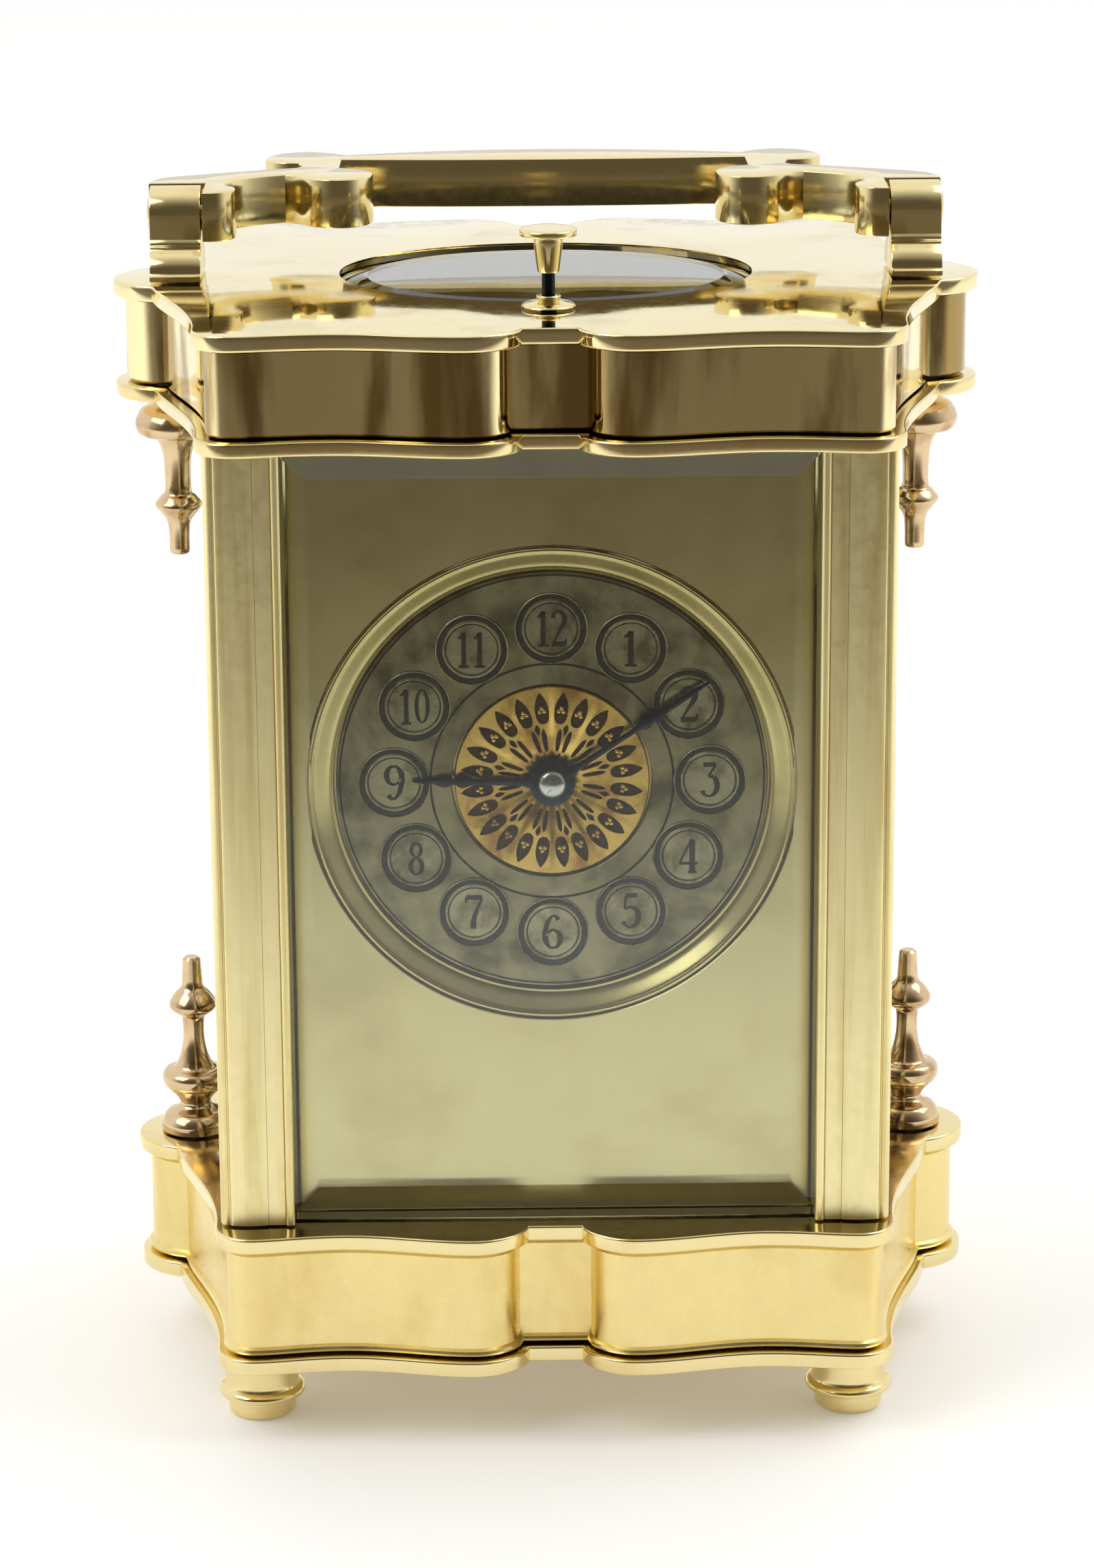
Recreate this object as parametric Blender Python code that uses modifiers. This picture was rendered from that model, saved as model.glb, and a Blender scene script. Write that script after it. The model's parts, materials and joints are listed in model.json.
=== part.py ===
"""Repeater carriage clock: a serpentine brass and glass case on turned feet.

The case holds a dial behind its mask, a going train and a striking train
between two plates, a lever platform on top and a coiled gong behind.
Metres, +Z up, the front faces -Y, the origin is on the floor under the middle.
"""

import math

import bmesh
import bpy
from mathutils import Vector
from mathutils.geometry import interpolate_bezier

# Clearances shared by all the pieces
SEAT_GAP = 0.0003
BORE_GAP = 0.0003
MESH_GAP = 0.0002
WHEEL_GAP = 0.0006
COCK_SIDE_GAP = 0.0009
MINUTE_WHEEL_GAP = 0.0012
GOING_WHEEL_GAP = 0.0015
STRIKE_WHEEL_GAP = 0.0024
WELD = 0.000001
SEAM_WELD = 0.000004
OVERRUN = 0.0010

# Plan of the case: one quarter of the serpentine outline, from recess to lobe
LOBE_HALF_SPAN = 0.0538
LOBE_RADIUS = 0.0074
LOBE_START_ANGLE = math.radians(72.7)
CASE_HALF_DEPTH = 0.0412
SERPENTINE_SHARES = (
    ((0.061, 0.879), (0.065, 0.934), (0.123, 1.000), (0.186, 1.000)),
    ((0.186, 1.000), (0.279, 1.000), (0.381, 0.942), (0.483, 0.942)),
    ((0.483, 0.942), (0.576, 0.942), (0.641, 0.971), (0.697, 0.971)),
    ((0.697, 0.971), (0.745, 0.971), (0.784, 0.917), (0.784, 0.854)),
    ((0.784, 0.854), (0.784, 0.583), (0.881, 0.340), (0.898, 0.199)),
)
CURVE_POINTS = 4
LOBE_POINTS = 4

# Heights of the case, from the floor up
FOOT_HEIGHT = 0.0090
BASE_RIM_THICKNESS = 0.0020
BASE_FRIEZE_HEIGHT = 0.0135
PILLAR_HEIGHT = 0.0974
CORNICE_RIM_THICKNESS = 0.0018
CORNICE_FRIEZE_HEIGHT = 0.0102
TOP_PLATE_THICKNESS = 0.0020
RIM_EDGE = 0.0004
FRIEZE_INSET = 0.0014
FRIEZE_BEAD_HEIGHT = 0.0010
FRIEZE_BEAD_WIDTH = 0.0006

BASE_LOWER_Z = FOOT_HEIGHT + SEAT_GAP
BASE_FRIEZE_Z = BASE_LOWER_Z + BASE_RIM_THICKNESS + SEAT_GAP
BASE_UPPER_Z = BASE_FRIEZE_Z + BASE_FRIEZE_HEIGHT + SEAT_GAP
BASE_TOP_Z = BASE_UPPER_Z + BASE_RIM_THICKNESS
PILLAR_Z = BASE_TOP_Z + SEAT_GAP
CORNICE_LOWER_Z = PILLAR_Z + PILLAR_HEIGHT + SEAT_GAP
CORNICE_FRIEZE_Z = CORNICE_LOWER_Z + CORNICE_RIM_THICKNESS + SEAT_GAP
TOP_PLATE_Z = CORNICE_FRIEZE_Z + CORNICE_FRIEZE_HEIGHT + SEAT_GAP
TOP_Z = TOP_PLATE_Z + TOP_PLATE_THICKNESS

# Turned feet
FOOT_X = 0.0371
FOOT_Y = 0.0285
FOOT_RING_RADIUS = 0.0055
FOOT_STEPS = 14
FOOT_SHARES = (
    (0.00, 1.00), (0.87, 1.00), (0.83, 0.80), (0.82, 0.58), (0.90, 0.43),
    (1.00, 0.39), (1.00, 0.29), (0.80, 0.25), (0.78, 0.05), (0.70, 0.00), (0.00, 0.00),
)

# Pillars and the glasses that slide in their grooves
PILLAR_SIZE = 0.0092
PILLAR_INNER_X = 0.0322
PILLAR_OUTER_Y = 0.0360
PILLAR_FACE_SHARES = (
    (0.00, 0.03), (0.03, 0.00), (0.10, 0.00), (0.13, 0.05), (0.34, 0.05), (0.355, 0.09),
    (0.385, 0.09), (0.40, 0.03), (0.50, 0.00), (0.80, 0.00), (0.91, 0.03), (0.97, 0.09),
    (1.00, 0.20), (1.00, 0.97), (0.97, 1.00),
)
GLASS_THICKNESS = 0.0026
GLASS_SETBACK = 0.0022
GROOVE_DEPTH = 0.0012
GLASS_BEVEL_WIDTH = 0.0054
GLASS_BEVEL_DEPTH = 0.0011

# Oval glass in the top and the openings under it
OVAL_Y = 0.0015
OVAL_HALF_WIDTH = 0.0261
OVAL_HALF_DEPTH = 0.0210
OVAL_LEDGE = 0.0015
OVAL_POINTS = 28
TOP_GLASS_THICKNESS = 0.0017
TOP_GLASS_EDGE = 0.0009
TOP_GLASS_BEVEL = 0.0034

# Finials
FINIAL_X = 0.04645
FINIAL_STEPS = 12
STANDING_FINIAL_HEIGHT = 0.0233
STANDING_FINIAL_RADIUS = 0.0044
STANDING_FINIAL_SHARES = (
    (0.00, 1.000), (0.27, 0.990), (0.31, 0.840), (0.36, 0.815), (0.57, 0.775), (0.69, 0.725),
    (0.50, 0.675), (0.33, 0.644), (0.33, 0.515), (0.41, 0.430), (0.56, 0.362), (0.89, 0.339),
    (0.955, 0.300), (0.82, 0.230), (0.59, 0.185), (0.45, 0.155), (0.57, 0.118), (1.00, 0.060),
    (1.00, 0.000), (0.00, 0.000),
)
HANGING_FINIAL_HEIGHT = 0.0206
HANGING_FINIAL_RADIUS = 0.00515
HANGING_FINIAL_SHARES = (
    (0.00, 1.000), (0.37, 1.000), (0.37, 0.961), (0.49, 0.951), (0.89, 0.893), (1.00, 0.816),
    (0.95, 0.767), (0.64, 0.745), (0.54, 0.738), (0.41, 0.680), (0.325, 0.587), (0.325, 0.398),
    (0.45, 0.369), (0.58, 0.320), (0.47, 0.272), (0.31, 0.223), (0.245, 0.160), (0.233, 0.012),
    (0.00, 0.000),
)

# Handle, its brackets and shoulder screws
PIVOT_RISE = 0.0080
HANDLE_THICKNESS = 0.0061
HANDLE_END_REACH = 0.0067
HANDLE_REACH = 0.0294
HANDLE_SHARES = (
    (0.000, 0.701), (0.262, 0.709), (0.523, 0.735), (0.525, 0.507), (0.473, 0.456),
    (0.442, 0.388), (0.438, 0.313), (0.455, 0.231), (0.488, 0.180), (0.535, 0.167),
    (0.592, 0.211), (0.627, 0.279), (0.661, 0.320), (0.710, 0.282), (0.759, 0.228),
    (0.793, 0.163), (0.805, 0.090), (0.783, 0.020), (0.777, -0.040), (0.788, -0.095),
    (0.811, -0.135), (0.840, -0.150),
)
HANDLE_OUTER_SHARES = (
    (1.000, 0.170), (0.978, 0.259), (0.933, 0.313), (0.872, 0.361), (0.811, 0.408),
    (0.751, 0.449), (0.686, 0.490), (0.641, 0.515), (0.625, 0.571), (0.633, 0.643),
    (0.673, 0.656), (0.708, 0.697), (0.722, 0.765), (0.714, 0.837), (0.682, 0.925),
    (0.613, 0.966), (0.558, 0.929), (0.513, 0.867), (0.365, 0.929), (0.195, 0.980),
)
HANDLE_END_GAP = 0.0003
BRACKET_INNER_X = 0.0426
BRACKET_WIDTH = 0.0063
HANDLE_HALF_WIDTH = BRACKET_INNER_X + HANDLE_END_REACH
BRACKET_HEAD_RADIUS = 0.0033
BRACKET_FOOT_DEPTH = 0.0116
BRACKET_SHARES = (
    (1.00, 0.00), (1.00, 0.08), (0.93, 0.12), (0.90, 0.24), (0.78, 0.37), (0.62, 0.46),
    (0.60, 0.50), (0.62, 0.56), (0.60, 0.62),
)
BRACKET_HEAD_POINTS = 8
SCREW_RADIUS = 0.0010
SCREW_HEAD_RADIUS = 0.0022
SCREW_HEAD_THICKNESS = 0.0009
SCREW_REACH = 0.0040

# Repeat button and its collar
BUTTON_Y = -0.0235
BUTTON_ROD_RADIUS = 0.0008
BUTTON_CUP_RADIUS = 0.00175
BUTTON_DISC_RADIUS = 0.00345
BUTTON_DISC_THICKNESS = 0.0010
BUTTON_CUP_HEIGHT = 0.0042
BUTTON_RISE = 0.0094
BUTTON_TRAVEL = 0.0025
BUTTON_ROD_BELOW = 0.0016
COLLAR_RADIUS = 0.00325
COLLAR_NECK_RADIUS = 0.00150
COLLAR_HEIGHT = 0.0013
TURNING_STEPS = 14

# Rear door
DOOR_THICKNESS = 0.0040
DOOR_STILE = 0.0052
DOOR_LIP = 0.0010
DOOR_LIP_DEPTH = 0.0014
DOOR_GLASS_THICKNESS = 0.0022
HINGE_PIN_RADIUS = 0.0008
HINGE_EDGE_RELIEF = 0.00005
HINGE_PIN_LENGTH = 0.0016
KNOB_RADIUS = 0.0023
KNOB_LENGTH = 0.0046
KNOB_DROP = 0.0060
KNOB_SHARES = (
    (0.00, 1.00), (0.55, 1.00), (0.92, 0.88), (1.00, 0.70), (0.80, 0.50), (0.45, 0.40),
    (0.42, 0.22), (0.80, 0.14), (0.80, 0.00), (0.00, 0.00),
)

# Dial, from the mask back to the dial plate
MASK_THICKNESS = 0.0015
DIAL_RISE_SHARE = 0.56468
DIAL_RECESS = 0.0030
BEZEL_RADIUS = 0.02965
BEZEL_WIDTH = 0.00305
BEZEL_STEPS = 32
BEZEL_SHARES = (
    (0.93, 1.00), (1.00, 0.90), (1.00, 0.00), (0.00, 0.00), (0.00, 0.34), (0.14, 0.40),
    (0.40, 0.46), (0.78, 0.82),
)
CHAPTER_THICKNESS = 0.0009
ROSE_RADIUS = 0.0119
ROSE_THICKNESS = 0.0007
ROSE_OPENINGS = 12
ROSE_OPENING_SHARES = (
    (0.000, 0.36), (0.055, 0.50), (0.085, 0.70), (0.000, 0.88), (-0.085, 0.70), (-0.055, 0.50),
)
DIAL_PLATE_THICKNESS = 0.0010
DIAL_FOOT_RADIUS = 0.0010
DIAL_FOOT_REACH = 0.0255
DIAL_FEET = 3

# Hands and the arbors under them
HAND_THICKNESS = 0.0004
HOUR_HAND_RISE = 0.0003
HOUR_HAND_LENGTH = 0.0171
MINUTE_HAND_LENGTH = 0.0230
HAND_WIDTH = 0.0014
HAND_BOSS_RADIUS = 0.00275
HOUR_HAND_ANGLE = math.radians(271.0)
MINUTE_HAND_ANGLE = math.radians(56.5)
MINUTE_HAND_SHARES = (
    (0.55, 0.14), (0.30, 0.24), (0.26, 0.55), (0.50, 0.60), (0.95, 0.655), (0.40, 0.70),
    (0.22, 0.76), (0.16, 0.97), (0.00, 1.00),
)
HOUR_HAND_SHARES = (
    (0.55, 0.20), (0.34, 0.30), (0.32, 0.56), (0.62, 0.63), (1.00, 0.72), (0.55, 0.81),
    (0.24, 0.88), (0.16, 0.97), (0.00, 1.00),
)
COLLET_RADIUS = 0.0016
COLLET_THICKNESS = 0.0005
ARBOR_RADIUS = 0.0009
PIVOT_RADIUS = 0.0006
PIPE_WALL = 0.0004
HAND_BOSS_POINTS = 16
DIAL_POINTS = 36

# Movement plates
PLATE_HALF_WIDTH = 0.0310
PLATE_TOP_DROP = 0.0161
PLATE_ARCH_HALF_WIDTH = 0.0180
PLATE_ARCH_RISE = 0.0100
PLATE_CORNER = 0.0040
FRONT_PLATE_Y = -0.0200
BACK_PLATE_Y = 0.0120
MOVEMENT_PLATE_THICKNESS = 0.0018
MOVEMENT_PILLAR_RADIUS = 0.0020
MOVEMENT_PILLAR_INSET = 0.0040
MOVEMENT_PILLAR_LOW_RISE = 0.0160

# Going and striking trains, each wheel placed so that its tips just clear the next pinion
BARREL_X = 0.0152
BARREL_DROP = 0.0176
BARREL_RADIUS = 0.0140
BARREL_STEPS = 24
GREAT_WHEEL_TEETH = 48
GREAT_WHEEL_RADIUS = 0.0206
GREAT_WHEEL_THICKNESS = 0.0012
TOOTH_DEPTH = 0.0012
PINION_TEETH = 6
PINION_RADIUS = 0.00245
CENTRE_WHEEL_TEETH = 48
CENTRE_WHEEL_RADIUS = 0.0120
TRAIN_THICKNESS = 0.0009
THIRD_WHEEL_TEETH = 45
THIRD_WHEEL_RADIUS = 0.0085
THIRD_PINION_RADIUS = 0.00180
THIRD_WHEEL_ANGLE = math.radians(50.9)
CONTRATE_PINION_RADIUS = 0.00150
CONTRATE_ANGLE = math.radians(150.2)
CONTRATE_RADIUS = 0.0070
CONTRATE_TEETH = 18
CONTRATE_CROWN_HEIGHT = 0.0016
CONTRATE_CROWN_WALL = 0.0007
ESCAPE_PINION_RADIUS = 0.00120
ESCAPE_PINION_TEETH = 6
WINDING_ARBOR_RADIUS = 0.0019
WINDING_SQUARE = 0.0024
WINDING_SQUARE_REACH = 0.0062
RATCHET_RADIUS = 0.0052
RATCHET_TEETH = 16
CANNON_PINION_RADIUS = 0.00300
CANNON_PINION_TEETH = 8
MINUTE_WHEEL_TEETH = 24
MINUTE_WHEEL_RADIUS = 0.0080
MINUTE_PINION_RADIUS = 0.00270
MINUTE_PINION_TEETH = 8
HOUR_WHEEL_TEETH = 32
HOUR_WHEEL_RADIUS = 0.0083
MINUTE_WHEEL_ANGLE = math.radians(205.0)
MOTION_THICKNESS = 0.0007
PIN_WHEEL_TEETH = 36
PIN_WHEEL_RADIUS = 0.0073
PIN_WHEEL_ANGLE = math.radians(101.9)
PIN_WHEEL_PINION_RADIUS = 0.00240
FLY_PINION_RADIUS = 0.00125
FLY_ANGLE = math.radians(52.0)
FLY_VANE_LENGTH = 0.0100
FLY_VANE_DEPTH = 0.0070
FLY_VANE_THICKNESS = 0.0004
WHEEL_CROSSINGS = 4
ARM_SHARE = 0.30
CROSSING_POINTS = 4
HUB_POINTS = 2
HUB_RADIUS = 0.0022
WHEEL_RIM = 0.0010
ARBOR_STEPS = 8
MOTION_TOOTH_DEPTH = 0.0007
THIRD_WHEEL_Y = 0.0010
CONTRATE_Y = -0.0030
PIN_WHEEL_Y = -0.0030
FLY_VANE_Y = 0.0055
BARREL_PIVOT_RADIUS = 0.0012
LEVER_STUD_RADIUS = 0.0012
SETTING_SQUARE_REACH = 0.0052
FINE_TOOTH_DEPTH = 0.0005
LIFTING_PINS = 6
LIFTING_PIN_RADIUS = 0.0003
LIFTING_PIN_LENGTH = 0.0012
PIN_STEPS = 6
ESCAPE_HUB_RADIUS = 0.0010

# Platform with its escape wheel, balance and cock
PLATFORM_HALF_WIDTH = 0.0170
PLATFORM_THICKNESS = 0.0016
PLATFORM_OVERHANG = 0.0010
ESCAPE_WHEEL_TEETH = 15
ESCAPE_WHEEL_RADIUS = 0.0042
ESCAPE_WHEEL_THICKNESS = 0.0005
ESCAPE_WHEEL_RISE = 0.0010
BALANCE_RADIUS = 0.0078
BALANCE_RIM = 0.0011
BALANCE_THICKNESS = 0.0011
BALANCE_ARM_WIDTH = 0.0012
BALANCE_RISE = 0.0030
BALANCE_Y = 0.0068
STAFF_RADIUS = 0.0004
COCK_THICKNESS = 0.0010
COCK_WIDTH = 0.0036
COCK_FOOT_DEPTH = 0.0030
FOOT_RELIEF = 0.00001
COCK_BOSS_RADIUS = 0.0028

# Hammer, gong and repeat lever
HAMMER_X = -0.0280
HAMMER_RISE = 0.0093
HAMMER_HEAD_ANGLE = math.radians(130.0)
HAMMER_REST_GAP = 0.0006
HAMMER_HEAD_RADIUS = 0.0020
HAMMER_HEAD_LENGTH = 0.0040
HAMMER_ARM_WIDTH = 0.0014
HAMMER_ARM_THICKNESS = 0.0010
GONG_DISTANCE = 0.0085
GONG_INNER_RADIUS = 0.0185
GONG_PITCH = 0.0028
GONG_LOOPS = 3
GONG_LOOP_POINTS = 24
GONG_WIRE_RADIUS = 0.0008
GONG_STAND_WIDTH = 0.0034
GONG_STAND_RISE = 0.0060
GONG_STAND_BELOW_WIRE = 0.0009
GONG_STAND_PAST_WIRE = 0.0020
LEVER_X = 0.0120
LEVER_DROP = 0.0040
LEVER_TIP_BELOW_ROD = 0.0004
LEVER_WIDTH = 0.0024
LEVER_THICKNESS = 0.0016
LEVER_PAD_LENGTH = 0.0056
LEVER_DISTANCE = 0.0026

# Colour, metallic share and roughness of each finish
POLISHED_BRASS = ((0.74, 0.52, 0.20), 1.0, 0.22)
SATIN_BRASS = ((0.62, 0.49, 0.25), 1.0, 0.42)
ROSE_BRASS = ((0.76, 0.50, 0.27), 1.0, 0.25)
GILT = ((0.80, 0.60, 0.27), 1.0, 0.35)
SILVERED = ((0.60, 0.60, 0.57), 1.0, 0.45)
BLUED_STEEL = ((0.03, 0.04, 0.09), 1.0, 0.30)
BRIGHT_STEEL = ((0.66, 0.66, 0.67), 1.0, 0.20)
CLEAR_GLASS = ((0.90, 0.95, 0.93), 0.0, 0.03)

# Places worked out from the sizes above
PILLAR_TOP_Z = PILLAR_Z + PILLAR_HEIGHT
DIAL_Z = PILLAR_Z + DIAL_RISE_SHARE * PILLAR_HEIGHT
MASK_FRONT_Y = -PILLAR_OUTER_Y + GLASS_SETBACK + GLASS_THICKNESS + SEAT_GAP
DIAL_SEAT_Y = MASK_FRONT_Y + DIAL_RECESS
CHAPTER_RADIUS = BEZEL_RADIUS - BEZEL_WIDTH - SEAT_GAP
DIAL_PLATE_Y = DIAL_SEAT_Y + SEAT_GAP
DIAL_PLATE_BACK_Y = DIAL_PLATE_Y + DIAL_PLATE_THICKNESS
HOUR_HAND_Y = DIAL_SEAT_Y - CHAPTER_THICKNESS - HOUR_HAND_RISE - HAND_THICKNESS
MINUTE_HAND_Y = HOUR_HAND_Y - SEAT_GAP - HAND_THICKNESS
COLLET_Y = MINUTE_HAND_Y - SEAT_GAP - COLLET_THICKNESS
PIPE_BORE_RADIUS = ARBOR_RADIUS + BORE_GAP
PIPE_RADIUS = PIPE_BORE_RADIUS + PIPE_WALL
PIVOT_Z = TOP_Z + PIVOT_RISE
PLATE_TOP_Z = PILLAR_TOP_Z - PLATE_TOP_DROP
LEVER_Z = PLATE_TOP_Z - LEVER_DROP
FRONT_PLATE_BACK_Y = FRONT_PLATE_Y + MOVEMENT_PLATE_THICKNESS
BACK_PLATE_BACK_Y = BACK_PLATE_Y + MOVEMENT_PLATE_THICKNESS
BARREL_Z = DIAL_Z - BARREL_DROP
PILLAR_SIDE_Y = PILLAR_OUTER_Y - PILLAR_SIZE
GOING_WHEEL_Y = FRONT_PLATE_BACK_Y + GOING_WHEEL_GAP
STRIKE_WHEEL_Y = BACK_PLATE_Y - STRIKE_WHEEL_GAP - GREAT_WHEEL_THICKNESS
CENTRE_WHEEL_Y = BACK_PLATE_Y - WHEEL_GAP - TRAIN_THICKNESS
HOUR_WHEEL_Y = DIAL_PLATE_BACK_Y + WHEEL_GAP
MINUTE_WHEEL_Y = FRONT_PLATE_Y - MINUTE_WHEEL_GAP - MOTION_THICKNESS
HINGE_X = PILLAR_INNER_X - SEAT_GAP - DOOR_THICKNESS / 2
DOOR_Y = PILLAR_OUTER_Y - DOOR_THICKNESS / 2


def clear_scene():
    for item in list(bpy.data.objects):
        bpy.data.objects.remove(item)


def new_collection(name):
    collection = bpy.data.collections.new(name)
    bpy.context.scene.collection.children.link(collection)
    return collection


clear_scene()
PARTS = new_collection("repeater_carriage_clock")
CUTTERS = new_collection("cutters")


def finish_material(name, finish):
    """One Principled material for one piece."""
    colour, metallic, roughness = finish
    material = bpy.data.materials.new(name + "_finish")
    material.use_nodes = True
    shader = material.node_tree.nodes["Principled BSDF"]
    shader.inputs["Base Color"].default_value = (*colour, 1.0)
    shader.inputs["Metallic"].default_value = metallic
    shader.inputs["Roughness"].default_value = roughness
    return material


def add_piece(name, mesh, finish, smooth=False):
    """An object in the parts collection with its own material."""
    piece = bpy.data.objects.new(name, mesh)
    PARTS.objects.link(piece)
    mesh.materials.clear()
    mesh.materials.append(finish_material(name, finish))
    if smooth:
        mesh.shade_smooth()
        mesh.set_sharp_from_angle(angle=math.radians(35.0))
    return piece


def as_tool(piece):
    """Turn a piece into an operand of a Boolean, which is no part of the clock."""
    PARTS.objects.unlink(piece)
    CUTTERS.objects.link(piece)
    piece.hide_render = True
    piece.display_type = "WIRE"
    return piece


def combine(piece, operand, operation):
    boolean = piece.modifiers.new(operation.lower() + "_" + operand.name, "BOOLEAN")
    boolean.solver = "EXACT"
    boolean.operation = operation
    boolean.object = as_tool(operand)


def join(piece, operand):
    combine(piece, operand, "UNION")


def cut(piece, operand):
    combine(piece, operand, "DIFFERENCE")


def weld_seams(piece):
    """Close the hairline slits that joined shapes can leave."""
    weld = piece.modifiers.new("seams", "WELD")
    weld.merge_threshold = SEAM_WELD


def face_front(piece, x, y, z):
    """Stand a flat or turned piece up, so that its own +Z looks to the front."""
    piece.rotation_euler = (math.radians(90.0), 0.0, 0.0)
    piece.location = (x, y, z)
    return piece


def face_side(piece, x, y, z, side=1):
    """Turn a flat or turned piece so that its own +Z looks along X, to one side."""
    piece.rotation_euler = (math.radians(90.0), 0.0, math.radians(90.0 * side))
    piece.location = (x, y, z)
    return piece


def circle(radius, points, x=0.0, y=0.0):
    turn = math.tau / points
    return [(x + radius * math.cos(i * turn), y + radius * math.sin(i * turn)) for i in range(points)]


def polar(radius, angle):
    return radius * math.cos(angle), radius * math.sin(angle)


def flat_shape(name, loops, thickness, finish, smooth=False):
    """A flat outline, with any holes, as a filled 2D curve made a mesh, centred on its own z = 0."""
    curve = bpy.data.curves.new(name + "_outline", "CURVE")
    curve.dimensions = "2D"
    curve.fill_mode = "BOTH"
    curve.extrude = thickness / 2
    for loop in loops:
        spline = curve.splines.new("POLY")
        spline.points.add(len(loop) - 1)
        for point, (x, y) in zip(spline.points, loop):
            point.co = (x, y, 0.0, 1.0)
        spline.use_cyclic_u = True
    drawn = bpy.data.objects.new(name + "_outline", curve)
    PARTS.objects.link(drawn)
    mesh = mesh_of(drawn)
    bpy.data.objects.remove(drawn)
    return add_piece(name, mesh, finish, smooth)


def mesh_of(drawn):
    """The welded mesh of a curve object, with its faces pointing out."""
    depsgraph = bpy.context.evaluated_depsgraph_get()
    mesh = bpy.data.meshes.new_from_object(drawn.evaluated_get(depsgraph))
    shape = bmesh.new()
    shape.from_mesh(mesh)
    bmesh.ops.remove_doubles(shape, verts=shape.verts, dist=WELD)
    bmesh.ops.recalc_face_normals(shape, faces=shape.faces)
    shape.to_mesh(mesh)
    shape.free()
    return mesh


def turned(name, profile, steps, finish, ring=False):
    """A turned piece: a profile at +X, down its outer side, swept by a Screw modifier."""
    mesh = bpy.data.meshes.new(name)
    edges = [(i, i + 1) for i in range(len(profile) - 1)]
    if ring:
        edges.append((len(profile) - 1, 0))
    mesh.from_pydata([(radius, 0.0, height) for radius, height in profile], edges, [])
    piece = add_piece(name, mesh, finish)
    screw = piece.modifiers.new("turning", "SCREW")
    screw.axis = "Z"
    screw.angle = math.tau
    screw.steps = steps
    screw.render_steps = steps
    screw.use_merge_vertices = True
    screw.merge_threshold = WELD
    screw.use_smooth_shade = True
    return piece


def scaled(shares, across, along):
    return [(across * a, along * b) for a, b in shares]


def rod(name, radius, low, high, steps, finish):
    """A plain cylinder along its own Z from low to high."""
    return turned(name, ((0.0, high), (radius, high), (radius, low), (0.0, low)), steps, finish)


def box(name, size, centre, finish):
    mesh = bpy.data.meshes.new(name)
    shape = bmesh.new()
    bmesh.ops.create_cube(shape, size=1.0)
    bmesh.ops.scale(shape, vec=size, verts=shape.verts)
    shape.to_mesh(mesh)
    shape.free()
    piece = add_piece(name, mesh, finish)
    piece.location = centre
    return piece


def gear_outline(teeth, radius, depth):
    """V teeth: a tip and a root point for each tooth."""
    pitch = math.tau / teeth
    outline = []
    for i in range(teeth):
        outline.append(polar(radius, i * pitch))
        outline.append(polar(radius - depth, (i + 0.5) * pitch))
    return outline


def crossing_loops(inner, outer, count):
    """The open sectors between the arms of a wheel."""
    pitch = math.tau / count
    sector = pitch * (1.0 - ARM_SHARE)
    loops = []
    for i in range(count):
        start = i * pitch + (pitch - sector) / 2
        arc = [polar(outer, start + sector * step / CROSSING_POINTS) for step in range(CROSSING_POINTS + 1)]
        back = [polar(inner, start + sector * step / HUB_POINTS) for step in reversed(range(HUB_POINTS + 1))]
        loops.append(arc + back)
    return loops


def serpentine_quarter():
    """The outline from the tip of the right lobe to the corner of the recess, both positive."""
    centre = LOBE_HALF_SPAN - LOBE_RADIUS
    points = []
    for step in range(LOBE_POINTS + 1):
        x, y = polar(LOBE_RADIUS, LOBE_START_ANGLE * step / LOBE_POINTS)
        points.append((centre + x, y))
    for knots in reversed(SERPENTINE_SHARES):
        places = [Vector((x * LOBE_HALF_SPAN, y * CASE_HALF_DEPTH)) for x, y in reversed(knots)]
        curve = interpolate_bezier(*places, CURVE_POINTS)
        skip = 0 if knots is SERPENTINE_SHARES[-1] else 1
        points.extend((point.x, point.y) for point in curve[skip:])
    return points


def serpentine():
    """The whole outline, anticlockwise from the tip of the right lobe."""
    quarter = serpentine_quarter()
    back = [(-x, y) for x, y in reversed(quarter)]
    front = [(-x, -y) for x, y in quarter[1:]]
    close = [(x, -y) for x, y in reversed(quarter[1:])]
    return quarter + back + front + close


def inset(outline, distance):
    """The anticlockwise outline moved inwards, mitred at its corners."""
    count = len(outline)
    moved = []
    for i in range(count):
        before = Vector(outline[i]) - Vector(outline[i - 1])
        after = Vector(outline[(i + 1) % count]) - Vector(outline[i])
        before = Vector((-before.y, before.x)).normalized()
        after = Vector((-after.y, after.x)).normalized()
        shift = (before + after) * distance / (1.0 + before.dot(after))
        moved.append((outline[i][0] + shift.x, outline[i][1] + shift.y))
    return moved


def lofted(name, outline, levels, finish, smooth=False):
    """A moulding: the outline at each height, drawn in by that level's inset, bottom first."""
    mesh = bpy.data.meshes.new(name)
    count = len(outline)
    points = []
    for height, distance in levels:
        points.extend((x, y, height) for x, y in inset(outline, distance))
    faces = [tuple(reversed(range(count)))]
    for level in range(len(levels) - 1):
        base = level * count
        for i in range(count):
            j = (i + 1) % count
            faces.append((base + i, base + j, base + count + j, base + count + i))
    faces.append(tuple(range((len(levels) - 1) * count, len(levels) * count)))
    mesh.from_pydata(points, [], faces)
    return add_piece(name, mesh, finish, smooth)


def ellipse(half_width, half_depth, points, y=0.0):
    turn = math.tau / points
    return [(half_width * math.cos(i * turn), y + half_depth * math.sin(i * turn)) for i in range(points)]


def oval_cutter(name, ledge, low, high):
    outline = ellipse(OVAL_HALF_WIDTH - ledge, OVAL_HALF_DEPTH - ledge, OVAL_POINTS, OVAL_Y)
    return lofted(name, outline, ((low - OVERRUN, 0.0), (high + OVERRUN, 0.0)), POLISHED_BRASS)


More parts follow.
